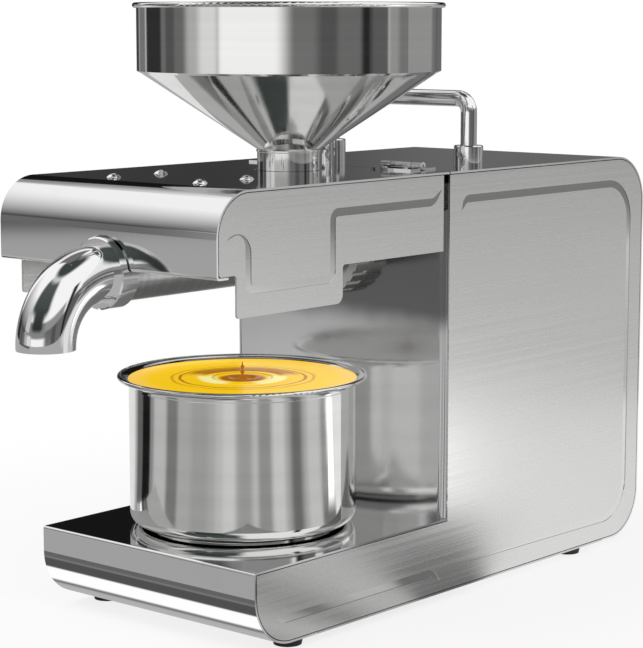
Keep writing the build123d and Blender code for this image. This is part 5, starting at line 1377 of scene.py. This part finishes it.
    def put_up_wall(self) -> None:
        """Puts up the tent's wall, the part of a sphere that its rows' elevations span."""
        rows, columns = self.wall_points
        reach = np.linspace(*self.tent_rises, rows)
        rise = np.radians(reach)[:, None]
        height = self.tent_level + self.tent_radius * np.sin(rise)
        points = Surface.rows_round(self.tent_radius * np.cos(rise), height, columns, self.tent_seam)
        tone = self.painted(self.wall_cards, reach, columns, self.tent_tone)
        deep = self.painted((*self.wall_cards, *self.deep_cards), reach, columns, self.tent_tone)
        self.hang("tent_wall", points, tone, deep)

    def lay_rings(self) -> None:
        """Lays the tent's floor, whose rows are rings that lie closer together towards the middle."""
        rows, columns = self.ring_points
        reach = np.geomspace(self.tent_start, self.tent_radius, rows)
        points = Surface.rows_round(reach[:, None], self.tent_lift, columns, self.tent_seam)
        points += self.stripe_centre
        self.hang("tent_floor", points, self.painted(self.floor_cards, reach, columns, self.floor_tone))

    def lay_strips(self) -> None:
        """Lays the strips as one narrow sheet whose tone changes smoothly from strip to strip."""
        along = np.linspace(self.strips[0][0], self.strips_end, self.strip_points)
        tone = np.full_like(along, self.strips[0][1])
        for (_, before), (front, after) in zip(self.strips, self.strips[1:]):
            share = np.clip((along - front) / self.strip_blur + 0.5, 0.0, 1.0)
            tone = tone + (after - before) * eased(share)
        side = np.array(self.strip_sides)
        points = np.stack(np.broadcast_arrays(side, along[:, None], 2.0 * self.tent_lift), axis=-1)
        self.hang("tent_strips", points, np.repeat(tone[:, None, None], 2, axis=1) * np.ones(3), closed=False)

    def hang(self, name: str, points: np.ndarray, tone: np.ndarray, deep: Optional[np.ndarray] = None,
             closed: bool = True) -> None:
        """Makes a piece of the stage that only shiny surfaces see.

        Args:
            name: The piece's name.
            points: Its points, as rows by columns by 3.
            tone: Its colour at each point, as rows by columns by 3.
            deep: Its deep colour at each point, where it isn't that of the floor.
            closed: Whether its last column joins the first.
        """
        rows, columns = tone.shape[:2]
        faces = Surface.grid_faces(rows, columns, closed)
        made = Surface(name).piece(points.reshape(-1, 3), faces.tolist(), False)
        deep = np.full_like(tone, self.deep_floor) if deep is None else deep
        for label, colours in (("tone", tone), ("deep", deep)):
            layer = made.data.attributes.new(label, "FLOAT_COLOR", "POINT")
            full = np.concatenate([colours.reshape(-1, 3), np.ones((rows * columns, 1))], axis=1)
            layer.data.foreach_set("color", full.ravel().astype(np.float32))
        made.data.materials.append(self.card_paint())
        for ray in ("camera", "diffuse", "shadow", "transmission", "volume_scatter"):
            setattr(made, f"visible_{ray}", False)

    @staticmethod
    @cache
    def card_paint() -> bpy.types.Material:
        """A paint that shines with the piece's own tone, or with its deep one in a second mirror."""
        paint = Paint("grey_cards")
        tone, deep = (paint.put("ShaderNodeAttribute", attribute_name=label).outputs["Color"]
                      for label in ("tone", "deep"))
        depth = paint.put("ShaderNodeLightPath").outputs["Glossy Depth"]
        seen = paint.mix(paint.maths("GREATER_THAN", depth, SECOND_MIRROR), tone, deep)
        paint.end(paint.put("ShaderNodeEmission", {"Color": seen, "Strength": 1.0}).outputs[0])
        return paint.material

    def build(self) -> None:
        """Puts the whole studio together."""
        self.aim()
        self.surround()
        self.floor()
        self.put_up_wall()
        self.lay_rings()
        self.lay_strips()
        for lamp in self.lamps:
            lamp.hang()
        LOG.info("studio is up")


def main() -> None:
    """Builds the press and its studio."""
    logging.basicConfig(level=logging.INFO, format="%(name)s: %(message)s")
    bpy.context.scene.view_settings.view_transform = "Standard"
    Studio().build()
    for assembly in (Housing(), Handle(), Cover(), Hopper(), OilCup(), CakeElbow(), PressChamber(),
                     Gearbox(), Motor(), Electrics()):
        assembly.dress()
        assembly.build()
        LOG.info("%s is dressed", type(assembly).__name__)


if __name__ == "__main__":
    main()
